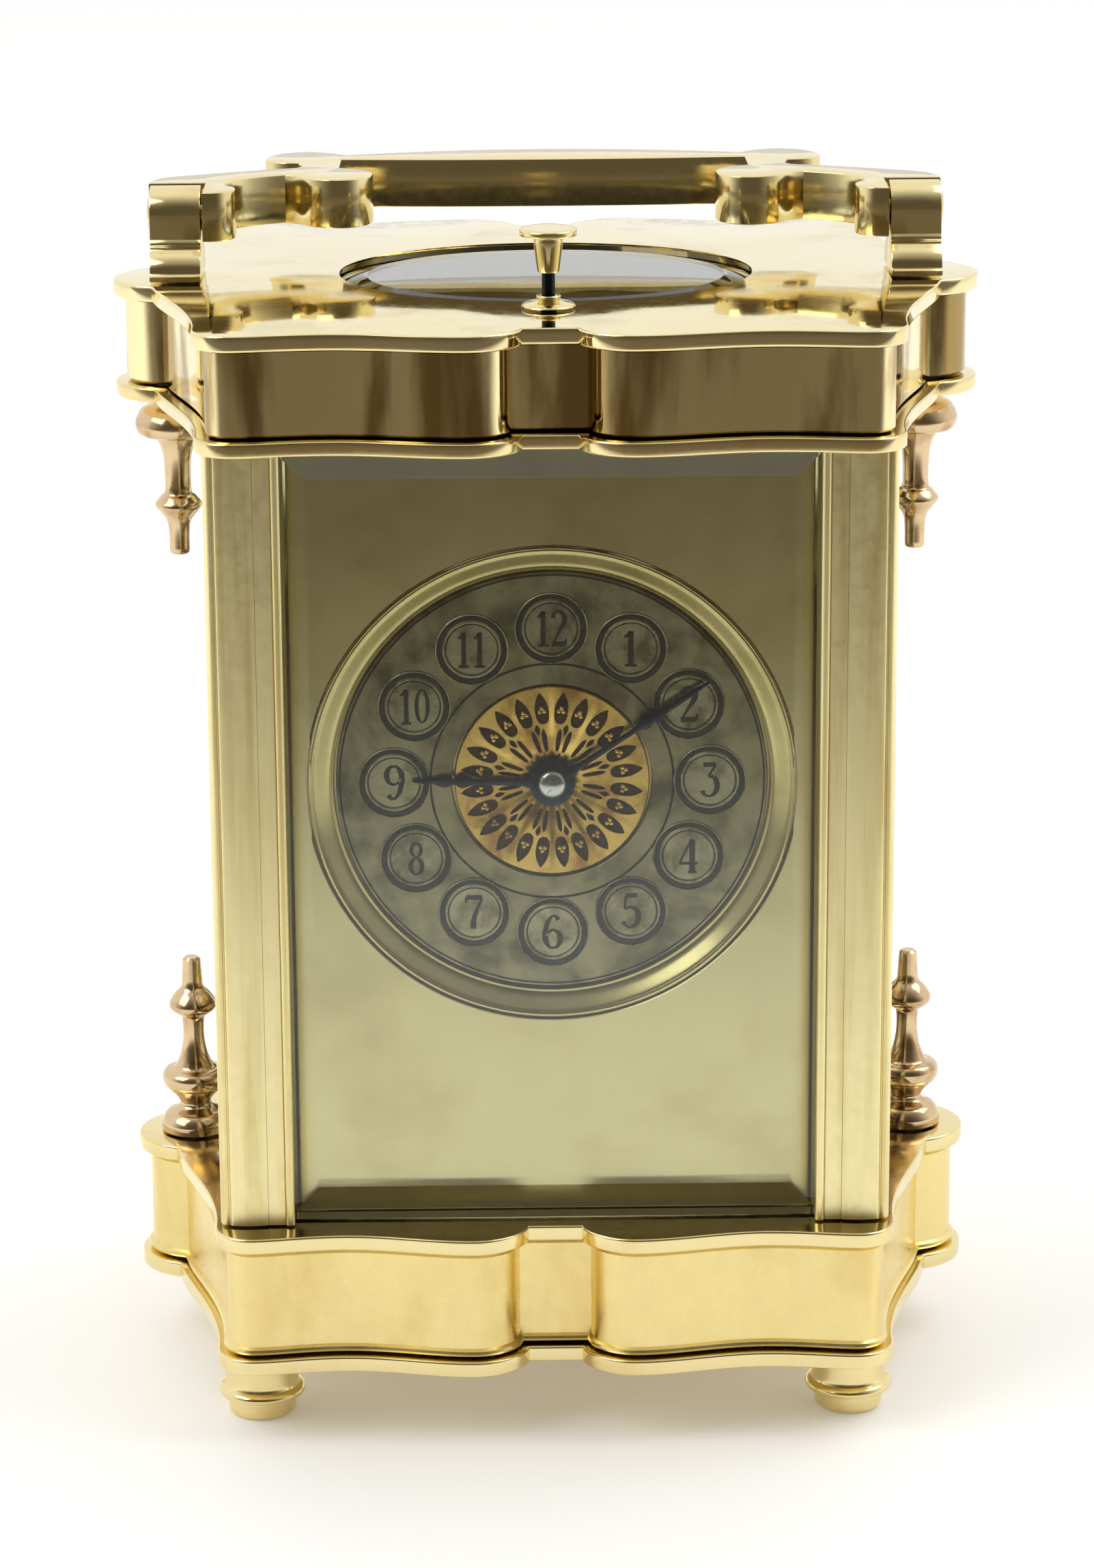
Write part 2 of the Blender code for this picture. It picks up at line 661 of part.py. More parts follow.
def bore_cutter(name, x, y, radius, low, high):
    piece = rod(name, radius, low - OVERRUN, high + OVERRUN, TURNING_STEPS, POLISHED_BRASS)
    piece.location = (x, y, 0.0)
    return piece


def add_case():
    """Base, cornice and top plate: mouldings on the serpentine outline."""
    outline = serpentine()
    lofted("base_lower_moulding", outline, (
        (BASE_LOWER_Z, 0.0),
        (BASE_LOWER_Z + BASE_RIM_THICKNESS - RIM_EDGE, 0.0),
        (BASE_LOWER_Z + BASE_RIM_THICKNESS, RIM_EDGE),
    ), POLISHED_BRASS)
    lofted("base_frieze", outline, (
        (BASE_FRIEZE_Z, FRIEZE_INSET - FRIEZE_BEAD_WIDTH),
        (BASE_FRIEZE_Z + FRIEZE_BEAD_HEIGHT, FRIEZE_INSET),
        (BASE_FRIEZE_Z + BASE_FRIEZE_HEIGHT, FRIEZE_INSET),
    ), POLISHED_BRASS)
    upper = lofted("base_upper_moulding", outline, (
        (BASE_UPPER_Z, 0.0),
        (BASE_TOP_Z - RIM_EDGE, 0.0),
        (BASE_TOP_Z, RIM_EDGE),
    ), POLISHED_BRASS)
    pin_hole = HINGE_PIN_RADIUS + BORE_GAP
    cut(upper, bore_cutter("base_hinge_hole", HINGE_X, DOOR_Y, pin_hole, BASE_UPPER_Z, BASE_TOP_Z))

    cornice = lofted("cornice_lower_moulding", outline, (
        (CORNICE_LOWER_Z, RIM_EDGE),
        (CORNICE_LOWER_Z + RIM_EDGE, 0.0),
        (CORNICE_LOWER_Z + CORNICE_RIM_THICKNESS, 0.0),
    ), POLISHED_BRASS)
    frieze = lofted("cornice_frieze", outline, (
        (CORNICE_FRIEZE_Z, FRIEZE_INSET),
        (CORNICE_FRIEZE_Z + CORNICE_FRIEZE_HEIGHT, FRIEZE_INSET),
    ), POLISHED_BRASS)
    plate = lofted("top_plate", outline, (
        (TOP_PLATE_Z, 0.0),
        (TOP_Z - RIM_EDGE, 0.0),
        (TOP_Z, RIM_EDGE),
    ), POLISHED_BRASS)
    openings = (
        (cornice, "cornice_oval", OVAL_LEDGE, CORNICE_LOWER_Z, CORNICE_LOWER_Z + CORNICE_RIM_THICKNESS),
        (frieze, "frieze_oval", OVAL_LEDGE, CORNICE_FRIEZE_Z, CORNICE_FRIEZE_Z + CORNICE_FRIEZE_HEIGHT),
        (plate, "plate_oval", 0.0, TOP_PLATE_Z, TOP_Z),
    )
    for piece, name, ledge, low, high in openings:
        cut(piece, oval_cutter(name, ledge, low, high))
        cut(piece, bore_cutter(name + "_rod_bore", 0.0, BUTTON_Y, BUTTON_ROD_RADIUS + BORE_GAP, low, high))
    top = CORNICE_LOWER_Z + CORNICE_RIM_THICKNESS
    cut(cornice, bore_cutter("cornice_hinge_hole", HINGE_X, DOOR_Y, pin_hole, CORNICE_LOWER_Z, top))


def add_feet():
    profile = scaled(FOOT_SHARES, FOOT_RING_RADIUS, FOOT_HEIGHT)
    places = (("front_left", -1, -1), ("front_right", 1, -1), ("rear_left", -1, 1), ("rear_right", 1, 1))
    for place, side, depth in places:
        foot = turned("foot_" + place, profile, FOOT_STEPS, POLISHED_BRASS)
        foot.location = (side * FOOT_X, depth * FOOT_Y, 0.0)


def pillar_outline(side, depth):
    """A pillar's section with its glass grooves, moulded face outwards in depth."""
    face = [(PILLAR_SIZE * across, PILLAR_SIZE * back) for across, back in PILLAR_FACE_SHARES]
    side_glass = PILLAR_SIZE - GLASS_SETBACK - GLASS_THICKNESS
    groove = [
        (side_glass + GLASS_THICKNESS + SEAT_GAP, PILLAR_SIZE),
        (side_glass + GLASS_THICKNESS + SEAT_GAP, PILLAR_SIZE - GROOVE_DEPTH),
        (side_glass - SEAT_GAP, PILLAR_SIZE - GROOVE_DEPTH),
        (side_glass - SEAT_GAP, PILLAR_SIZE),
        (0.0, PILLAR_SIZE),
    ]
    front_groove = [
        (0.0, GLASS_SETBACK + GLASS_THICKNESS + SEAT_GAP),
        (GROOVE_DEPTH, GLASS_SETBACK + GLASS_THICKNESS + SEAT_GAP),
        (GROOVE_DEPTH, GLASS_SETBACK - SEAT_GAP),
        (0.0, GLASS_SETBACK - SEAT_GAP),
    ]
    outline = face + groove + (front_groove if depth < 0 else [])
    return [(side * (PILLAR_INNER_X + u), depth * (PILLAR_OUTER_Y - v)) for u, v in outline]


def add_pillars():
    places = (("front_left", -1, -1), ("front_right", 1, -1), ("rear_left", -1, 1), ("rear_right", 1, 1))
    for place, side, depth in places:
        section = pillar_outline(side, depth)
        pillar = flat_shape("pillar_" + place, [section], PILLAR_HEIGHT, SATIN_BRASS, True)
        pillar.location = (0.0, 0.0, PILLAR_Z + PILLAR_HEIGHT / 2)


def bevelled_glass(name, width, height, thickness, bevel_width, bevel_depth):
    """An upright pane whose front face, towards -Y, has ground bevels all round."""
    mesh = bpy.data.meshes.new(name)
    pane = bmesh.new()
    bmesh.ops.create_cube(pane, size=1.0)
    bmesh.ops.scale(pane, vec=(width, thickness, height), verts=pane.verts)
    front = min(pane.faces, key=lambda face: face.calc_center_median().y)
    edge = list(front.verts)
    bmesh.ops.inset_region(pane, faces=[front], thickness=bevel_width)
    bmesh.ops.translate(pane, vec=(0.0, bevel_depth, 0.0), verts=edge)
    pane.to_mesh(mesh)
    pane.free()
    return add_piece(name, mesh, CLEAR_GLASS)


def add_glasses():
    middle = PILLAR_Z + PILLAR_HEIGHT / 2
    seat = GLASS_SETBACK + GLASS_THICKNESS / 2
    front_width = 2 * (PILLAR_INNER_X + GROOVE_DEPTH - SEAT_GAP)
    front = bevelled_glass("glass_front", front_width, PILLAR_HEIGHT, GLASS_THICKNESS,
                           GLASS_BEVEL_WIDTH, GLASS_BEVEL_DEPTH)
    front.location = (0.0, seat - PILLAR_OUTER_Y, middle)
    side_width = 2 * (PILLAR_SIDE_Y + GROOVE_DEPTH - SEAT_GAP)
    for name, side in (("glass_left", -1), ("glass_right", 1)):
        pane = bevelled_glass(name, side_width, PILLAR_HEIGHT, GLASS_THICKNESS,
                              GLASS_BEVEL_WIDTH, GLASS_BEVEL_DEPTH)
        pane.rotation_euler = (0.0, 0.0, math.radians(90.0 * side))
        pane.location = (side * (PILLAR_INNER_X + PILLAR_SIZE - seat), 0.0, middle)
    outline = ellipse(OVAL_HALF_WIDTH - SEAT_GAP, OVAL_HALF_DEPTH - SEAT_GAP, OVAL_POINTS, OVAL_Y)
    lofted("glass_top", outline, (
        (TOP_PLATE_Z, 0.0),
        (TOP_PLATE_Z + TOP_GLASS_EDGE, 0.0),
        (TOP_PLATE_Z + TOP_GLASS_THICKNESS, TOP_GLASS_BEVEL),
    ), CLEAR_GLASS)


def add_finials():
    standing = scaled(STANDING_FINIAL_SHARES, STANDING_FINIAL_RADIUS, STANDING_FINIAL_HEIGHT)
    upright = scaled(HANGING_FINIAL_SHARES, HANGING_FINIAL_RADIUS, HANGING_FINIAL_HEIGHT)
    for name, side in (("left", -1), ("right", 1)):
        finial = turned("finial_standing_" + name, standing, FINIAL_STEPS, ROSE_BRASS)
        finial.location = (side * FINIAL_X, 0.0, PILLAR_Z)
        finial = turned("finial_hanging_" + name, upright, FINIAL_STEPS, ROSE_BRASS)
        finial.location = (side * FINIAL_X, 0.0, PILLAR_TOP_Z - HANGING_FINIAL_HEIGHT)


def handle_outline():
    """The handle lying back: x across, y to the rear of the pivot."""
    inner = scaled(HANDLE_SHARES, HANDLE_HALF_WIDTH, HANDLE_REACH)
    outer = scaled(HANDLE_OUTER_SHARES, HANDLE_HALF_WIDTH, HANDLE_REACH)
    arm_end = BRACKET_INNER_X - HANDLE_END_GAP
    head = BRACKET_HEAD_RADIUS + HANDLE_END_GAP
    notch = [(arm_end, inner[-1][1]), (arm_end, head), (HANDLE_HALF_WIDTH, head)]
    half = inner + notch + outer
    middle_rear = (0.0, HANDLE_REACH)
    mirrored = [(-x, y) for x, y in reversed(half[1:])]
    return half + [middle_rear] + mirrored


def add_handle():
    handle = flat_shape("handle", [handle_outline()], HANDLE_THICKNESS, POLISHED_BRASS, True)
    handle.location = (0.0, 0.0, PIVOT_Z)
    rise = PIVOT_RISE - SEAT_GAP
    foot = BRACKET_FOOT_DEPTH / 2
    right = [(foot * across, rise * (up - 1.0)) for across, up in BRACKET_SHARES]
    right.append((BRACKET_HEAD_RADIUS, rise * (BRACKET_SHARES[-1][1] - 1.0)))
    left = [(-y, z) for y, z in reversed(right)]
    turn = math.pi / BRACKET_HEAD_POINTS
    head = [polar(BRACKET_HEAD_RADIUS, i * turn) for i in range(BRACKET_HEAD_POINTS + 1)]
    bore = circle(SCREW_RADIUS + BORE_GAP, TURNING_STEPS)
    for name, side in (("left", -1), ("right", 1)):
        middle = side * (BRACKET_INNER_X + BRACKET_WIDTH / 2)
        bracket = flat_shape("handle_bracket_" + name, [right + head + left, bore], BRACKET_WIDTH,
                             POLISHED_BRASS, True)
        face_side(bracket, middle, 0.0, PIVOT_Z)
        shank_end = BRACKET_INNER_X - SCREW_REACH
        reach = BRACKET_INNER_X + BRACKET_WIDTH + SEAT_GAP
        profile = (
            (0.0, reach + SCREW_HEAD_THICKNESS), (SCREW_HEAD_RADIUS, reach + SCREW_HEAD_THICKNESS),
            (SCREW_HEAD_RADIUS, reach), (SCREW_RADIUS, reach), (SCREW_RADIUS, shank_end), (0.0, shank_end),
        )
        screw = turned("handle_screw_" + name, profile, TURNING_STEPS, BLUED_STEEL)
        screw.rotation_euler = (0.0, math.radians(90.0 * side), 0.0)
        screw.location = (0.0, 0.0, PIVOT_Z)
        socket = rod("handle_socket_" + name, SCREW_RADIUS + BORE_GAP, shank_end - BORE_GAP,
                     BRACKET_INNER_X + OVERRUN, TURNING_STEPS, POLISHED_BRASS)
        socket.rotation_euler = (0.0, math.radians(90.0 * side), 0.0)
        socket.location = (0.0, 0.0, PIVOT_Z)
        cut(handle, socket)


def add_button():
    """Repeat button on its rod, which slides down through the collar and the cornice."""
    top = TOP_Z + SEAT_GAP + BUTTON_RISE
    disc = top - BUTTON_DISC_THICKNESS
    cup = disc - BUTTON_CUP_HEIGHT
    low = CORNICE_LOWER_Z - BUTTON_ROD_BELOW
    cup_foot = (BUTTON_CUP_RADIUS + BUTTON_ROD_RADIUS) / 2
    profile = (
        (0.0, top), (BUTTON_DISC_RADIUS, top), (BUTTON_DISC_RADIUS, disc), (BUTTON_CUP_RADIUS, disc),
        (cup_foot, cup), (BUTTON_ROD_RADIUS, cup), (BUTTON_ROD_RADIUS, low), (0.0, low),
    )
    button = turned("repeat_button", profile, TURNING_STEPS, POLISHED_BRASS)
    button.location = (0.0, BUTTON_Y, 0.0)
    seat = TOP_Z + SEAT_GAP
    bore = BUTTON_ROD_RADIUS + BORE_GAP
    flare = COLLAR_HEIGHT / 2
    profile = (
        (bore, seat + COLLAR_HEIGHT), (COLLAR_NECK_RADIUS, seat + COLLAR_HEIGHT),
        (COLLAR_NECK_RADIUS, seat + flare), (COLLAR_RADIUS, seat), (bore, seat),
    )
    collar = turned("button_collar", profile, TURNING_STEPS, POLISHED_BRASS, ring=True)
    collar.location = (0.0, BUTTON_Y, 0.0)


def add_door():
    """Rear door: a framed bevelled glass on two pins, with its free edge on the left."""
    half = PILLAR_INNER_X - SEAT_GAP
    middle = PILLAR_Z + PILLAR_HEIGHT / 2
    rise = PILLAR_HEIGHT / 2
    hinge = DOOR_THICKNESS / 2
    outer = [(-half, -rise), (HINGE_X, -rise), (HINGE_X, rise), (-half, rise)]
    window_x = half - DOOR_STILE
    window_z = rise - DOOR_STILE
    window = [(-window_x, -window_z), (window_x, -window_z), (window_x, window_z), (-window_x, window_z)]
    outer = [(x - HINGE_X, z) for x, z in outer]
    window = [(x - HINGE_X, z) for x, z in window]
    frame = flat_shape("door_frame", [outer, window], DOOR_THICKNESS, POLISHED_BRASS)
    face_front(frame, HINGE_X, DOOR_Y, middle)
    relief = HINGE_EDGE_RELIEF
    edge = rod("door_hinge_edge", hinge - relief, PILLAR_Z + relief, PILLAR_TOP_Z - relief, TURNING_STEPS,
               POLISHED_BRASS)
    edge.location = (HINGE_X, DOOR_Y, 0.0)
    join(frame, edge)
    pins = rod("door_hinge_pins", HINGE_PIN_RADIUS, PILLAR_Z - HINGE_PIN_LENGTH,
               PILLAR_TOP_Z + HINGE_PIN_LENGTH, TURNING_STEPS, POLISHED_BRASS)
    pins.location = (HINGE_X, DOOR_Y, 0.0)
    join(frame, pins)
    rebate_x = window_x + DOOR_LIP
    rebate_z = window_z + DOOR_LIP
    front_y = DOOR_Y - hinge
    rebate_back = DOOR_Y + hinge - DOOR_LIP_DEPTH
    rebate = box("door_rebate", (2 * rebate_x, rebate_back - front_y + OVERRUN, 2 * rebate_z),
                 (0.0, (rebate_back + front_y - OVERRUN) / 2, middle), POLISHED_BRASS)
    cut(frame, rebate)
    glass = bevelled_glass("door_glass", 2 * (rebate_x - SEAT_GAP), 2 * (rebate_z - SEAT_GAP),
                           DOOR_GLASS_THICKNESS, GLASS_BEVEL_WIDTH - GROOVE_DEPTH, GLASS_BEVEL_DEPTH)
    glass.rotation_euler = (0.0, 0.0, math.radians(180.0))
    glass.location = (0.0, rebate_back - SEAT_GAP - DOOR_GLASS_THICKNESS / 2, middle)
    knob = turned("door_knob", scaled(KNOB_SHARES, KNOB_RADIUS, KNOB_LENGTH), TURNING_STEPS, POLISHED_BRASS)
    knob.rotation_euler = (math.radians(-90.0), 0.0, 0.0)
    knob.location = (-(half + window_x) / 2, DOOR_Y + hinge + SEAT_GAP, middle - KNOB_DROP)


def rod_front(name, radius, front_y, back_y, x, z, finish, steps=TURNING_STEPS):
    """A plain cylinder along Y between two places."""
    piece = rod(name, radius, -back_y, -front_y, steps, finish)
    return face_front(piece, x, 0.0, z)


def rotated(outline, angle):
    """An outline turned clockwise, as seen from the front."""
    cosine, sine = math.cos(angle), math.sin(angle)
    return [(x * cosine + y * sine, y * cosine - x * sine) for x, y in outline]


def hand_outline(length, shares):
    """A hand pointing up: round boss, slim shaft, a swelling and a point."""
    side = [(HAND_WIDTH * across, length * along) for across, along in shares]
    opening = math.asin(side[0][0] / HAND_BOSS_RADIUS)
    sweep = math.tau - 2 * opening
    arc = [polar(HAND_BOSS_RADIUS, math.pi / 2 + opening + sweep * i / HAND_BOSS_POINTS)
           for i in range(HAND_BOSS_POINTS + 1)]
    return arc + side + [(-x, y) for x, y in reversed(side[:-1])]


def add_dial():
    """Mask, bezel, chapter ring and pierced centre on a footed plate."""
    middle = PILLAR_Z + PILLAR_HEIGHT / 2
    half = PILLAR_INNER_X - SEAT_GAP
    rise = PILLAR_HEIGHT / 2
    sheet = [(-half, -rise), (half, -rise), (half, rise), (-half, rise)]
    opening = circle(BEZEL_RADIUS + SEAT_GAP, DIAL_POINTS, 0.0, DIAL_Z - middle)
    mask = flat_shape("dial_mask", [sheet, opening], MASK_THICKNESS, SATIN_BRASS)
    face_front(mask, 0.0, MASK_FRONT_Y + MASK_THICKNESS / 2, middle)
    inner = BEZEL_RADIUS - BEZEL_WIDTH
    profile = [(inner + BEZEL_WIDTH * across, DIAL_RECESS * up) for across, up in BEZEL_SHARES]
    bezel = turned("dial_bezel", profile, BEZEL_STEPS, POLISHED_BRASS, ring=True)
    face_front(bezel, 0.0, DIAL_SEAT_Y, DIAL_Z)
    loops = [circle(CHAPTER_RADIUS, DIAL_POINTS), circle(ROSE_RADIUS + SEAT_GAP, DIAL_POINTS)]
    chapters = flat_shape("chapter_ring", loops, CHAPTER_THICKNESS, SILVERED)
    face_front(chapters, 0.0, DIAL_SEAT_Y - CHAPTER_THICKNESS / 2, DIAL_Z)
    pipe_hole = circle(PIPE_RADIUS + BORE_GAP, TURNING_STEPS)
    loops = [circle(ROSE_RADIUS, DIAL_POINTS), pipe_hole]
    for i in range(ROSE_OPENINGS):
        lancet = scaled(ROSE_OPENING_SHARES, ROSE_RADIUS, ROSE_RADIUS)
        loops.append(rotated(lancet, math.tau * i / ROSE_OPENINGS))
    rose = flat_shape("dial_centre", loops, ROSE_THICKNESS, GILT)
    face_front(rose, 0.0, DIAL_SEAT_Y - ROSE_THICKNESS / 2, DIAL_Z)
    loops = [circle(BEZEL_RADIUS, BEZEL_STEPS), pipe_hole]
    plate = flat_shape("dial_plate", loops, DIAL_PLATE_THICKNESS, SATIN_BRASS)
    face_front(plate, 0.0, DIAL_PLATE_Y + DIAL_PLATE_THICKNESS / 2, DIAL_Z)
    for i in range(DIAL_FEET):
        x, z = polar(DIAL_FOOT_REACH, math.tau * i / DIAL_FEET - math.pi / 2)
        foot = rod_front(f"dial_foot_{i}", DIAL_FOOT_RADIUS, DIAL_PLATE_Y + DIAL_PLATE_THICKNESS / 2,
                         FRONT_PLATE_Y - SEAT_GAP, x, DIAL_Z + z, SATIN_BRASS)
        join(plate, foot)


def add_gear_on(piece, name, teeth, radius, thickness, front_y, x, z, depth=TOOTH_DEPTH):
    gear = flat_shape(name, [gear_outline(teeth, radius, depth)], thickness, SATIN_BRASS)
    face_front(gear, x, front_y + thickness / 2, z)
    join(piece, gear)


def wheel(name, teeth, radius, thickness, front_y, x, z, crossed=True):
    """A toothed wheel, with its arms cut out between hub and rim."""
    loops = [gear_outline(teeth, radius, TOOTH_DEPTH)]
    if crossed:
        loops += crossing_loops(HUB_RADIUS, radius - TOOTH_DEPTH - WHEEL_RIM, WHEEL_CROSSINGS)
    piece = flat_shape(name, loops, thickness, SATIN_BRASS)
    return face_front(piece, x, front_y + thickness / 2, z)


def pivoted_arbor(piece, name, x, z):
    """The arbor of a wheel, with a thin pivot in each movement plate."""
    front = FRONT_PLATE_BACK_Y + SEAT_GAP
    back = BACK_PLATE_Y - SEAT_GAP
    tip_front = FRONT_PLATE_Y + SEAT_GAP
    tip_back = BACK_PLATE_BACK_Y - SEAT_GAP
    profile = (
        (0.0, -tip_front), (PIVOT_RADIUS, -tip_front), (PIVOT_RADIUS, -front), (ARBOR_RADIUS, -front),
        (ARBOR_RADIUS, -back), (PIVOT_RADIUS, -back), (PIVOT_RADIUS, -tip_back), (0.0, -tip_back),
    )
    arbor = turned(name, profile, ARBOR_STEPS, BRIGHT_STEEL)
    join(piece, face_front(arbor, x, 0.0, z))


def add_hands_and_motion_work():
    """Hands, the hour wheel on the hour hand's pipe, and the minute wheel beside it."""
    outline = rotated(hand_outline(HOUR_HAND_LENGTH, HOUR_HAND_SHARES), HOUR_HAND_ANGLE)
    hour = flat_shape("hour_hand", [outline], HAND_THICKNESS, BLUED_STEEL)
    face_front(hour, 0.0, HOUR_HAND_Y + HAND_THICKNESS / 2, DIAL_Z)
    wheel_back = HOUR_WHEEL_Y + MOTION_THICKNESS
    pipe = rod_front("hour_pipe", PIPE_RADIUS, HOUR_HAND_Y + HAND_THICKNESS / 2, wheel_back + SEAT_GAP,
                     0.0, DIAL_Z, BLUED_STEEL)
    join(hour, pipe)
    add_gear_on(hour, "hour_wheel", HOUR_WHEEL_TEETH, HOUR_WHEEL_RADIUS, MOTION_THICKNESS,
                HOUR_WHEEL_Y, 0.0, DIAL_Z, MOTION_TOOTH_DEPTH)
    bore = rod_front("hour_bore", PIPE_BORE_RADIUS, HOUR_HAND_Y - OVERRUN, wheel_back + SEAT_GAP + OVERRUN,
                     0.0, DIAL_Z, BLUED_STEEL)
    cut(hour, bore)

    outline = rotated(hand_outline(MINUTE_HAND_LENGTH, MINUTE_HAND_SHARES), MINUTE_HAND_ANGLE)
    loops = [outline, circle(PIPE_BORE_RADIUS, TURNING_STEPS)]
    minute = flat_shape("minute_hand", loops, HAND_THICKNESS, BLUED_STEEL)
    face_front(minute, 0.0, MINUTE_HAND_Y + HAND_THICKNESS / 2, DIAL_Z)
    dome = COLLET_THICKNESS / 2
    profile = ((0.0, COLLET_THICKNESS), (COLLET_RADIUS / 2, COLLET_THICKNESS), (COLLET_RADIUS, dome),
               (COLLET_RADIUS, 0.0), (0.0, 0.0))
    collet = turned("hand_collet", profile, TURNING_STEPS, BRIGHT_STEEL)
    face_front(collet, 0.0, COLLET_Y + COLLET_THICKNESS, DIAL_Z)

    x, z = polar(CANNON_PINION_RADIUS + MESH_GAP + MINUTE_WHEEL_RADIUS, MINUTE_WHEEL_ANGLE)
    minute_wheel = wheel("minute_wheel", MINUTE_WHEEL_TEETH, MINUTE_WHEEL_RADIUS, MOTION_THICKNESS,
                         MINUTE_WHEEL_Y, x, DIAL_Z + z, crossed=False)
    back = MINUTE_WHEEL_Y + MOTION_THICKNESS
    add_gear_on(minute_wheel, "minute_pinion", MINUTE_PINION_TEETH, MINUTE_PINION_RADIUS,
                back - HOUR_WHEEL_Y - MOTION_THICKNESS / 2, HOUR_WHEEL_Y, x, DIAL_Z + z, MOTION_TOOTH_DEPTH)
    pivot = rod_front("minute_wheel_pivot", PIVOT_RADIUS, MINUTE_WHEEL_Y + MOTION_THICKNESS / 2,
                      FRONT_PLATE_BACK_Y - SEAT_GAP, x, DIAL_Z + z, BRIGHT_STEEL, ARBOR_STEPS)
    join(minute_wheel, pivot)
    return x, DIAL_Z + z


def train_places(minute_wheel_place):
    """Where each arbor stands, seen from the front, worked out from the wheels that mesh."""
    third = polar(CENTRE_WHEEL_RADIUS + THIRD_PINION_RADIUS + MESH_GAP, THIRD_WHEEL_ANGLE)
    contrate = polar(THIRD_WHEEL_RADIUS + CONTRATE_PINION_RADIUS + MESH_GAP, CONTRATE_ANGLE)
    pin = polar(GREAT_WHEEL_RADIUS + PIN_WHEEL_PINION_RADIUS + MESH_GAP, PIN_WHEEL_ANGLE)
    fly = polar(PIN_WHEEL_RADIUS + FLY_PINION_RADIUS + MESH_GAP, FLY_ANGLE)
    places = {
        "going_barrel": (BARREL_X, BARREL_Z),
        "strike_barrel": (-BARREL_X, BARREL_Z),
        "centre": (0.0, DIAL_Z),
        "third": (third[0], DIAL_Z + third[1]),
        "contrate": (third[0] + contrate[0], DIAL_Z + third[1] + contrate[1]),
        "pin": (pin[0] - BARREL_X, BARREL_Z + pin[1]),
        "fly": (pin[0] + fly[0] - BARREL_X, BARREL_Z + pin[1] + fly[1]),
        "hammer": (HAMMER_X, DIAL_Z + HAMMER_RISE),
        "minute": minute_wheel_place,
        "lever": (LEVER_X, LEVER_Z),
    }
    return places


def plate_loops(places, holes):
    """A movement plate on two legs, with a round hole for each arbor."""
    low, high = PILLAR_Z, PLATE_TOP_Z
    arch = PILLAR_Z + PLATE_ARCH_RISE
    half, leg = PLATE_HALF_WIDTH, PLATE_ARCH_HALF_WIDTH
    outline = [
        (-half, low), (-half, high - PLATE_CORNER), (PLATE_CORNER - half, high),
        (half - PLATE_CORNER, high), (half, high - PLATE_CORNER), (half, low),
        (leg, low), (leg, arch), (-leg, arch), (-leg, low),
    ]
    loops = [outline]
    for name, radius in holes:
        x, z = places[name]
        loops.append(circle(radius + BORE_GAP, ARBOR_STEPS, x, z))
    return loops


def add_plates(places):
    pivots = [(name, PIVOT_RADIUS) for name in ("third", "contrate", "pin", "fly", "hammer")]
    barrels = [(name, BARREL_PIVOT_RADIUS) for name in ("going_barrel", "strike_barrel")]
    extra = [("centre", ARBOR_RADIUS), ("minute", PIVOT_RADIUS), ("lever", LEVER_STUD_RADIUS)]
    front = flat_shape("movement_front_plate", plate_loops(places, pivots + barrels + extra),
                       MOVEMENT_PLATE_THICKNESS, POLISHED_BRASS)
    face_front(front, 0.0, FRONT_PLATE_Y + MOVEMENT_PLATE_THICKNESS / 2, 0.0)
    x = PLATE_HALF_WIDTH - MOVEMENT_PILLAR_INSET
    for name, side, z in (
        ("low_left", -1, PILLAR_Z + MOVEMENT_PILLAR_LOW_RISE),
        ("low_right", 1, PILLAR_Z + MOVEMENT_PILLAR_LOW_RISE),
        ("high_left", -1, PLATE_TOP_Z - MOVEMENT_PILLAR_INSET),
        ("high_right", 1, PLATE_TOP_Z - MOVEMENT_PILLAR_INSET),
    ):
        pillar = rod_front("movement_pillar_" + name, MOVEMENT_PILLAR_RADIUS,
                           FRONT_PLATE_Y + MOVEMENT_PLATE_THICKNESS / 2, BACK_PLATE_Y - SEAT_GAP,
                           side * x, z, POLISHED_BRASS, ARBOR_STEPS)
        join(front, pillar)
    back = flat_shape("movement_back_plate", plate_loops(places, pivots + barrels + extra[:1]),
                      MOVEMENT_PLATE_THICKNESS, POLISHED_BRASS)
    face_front(back, 0.0, BACK_PLATE_Y + MOVEMENT_PLATE_THICKNESS / 2, 0.0)


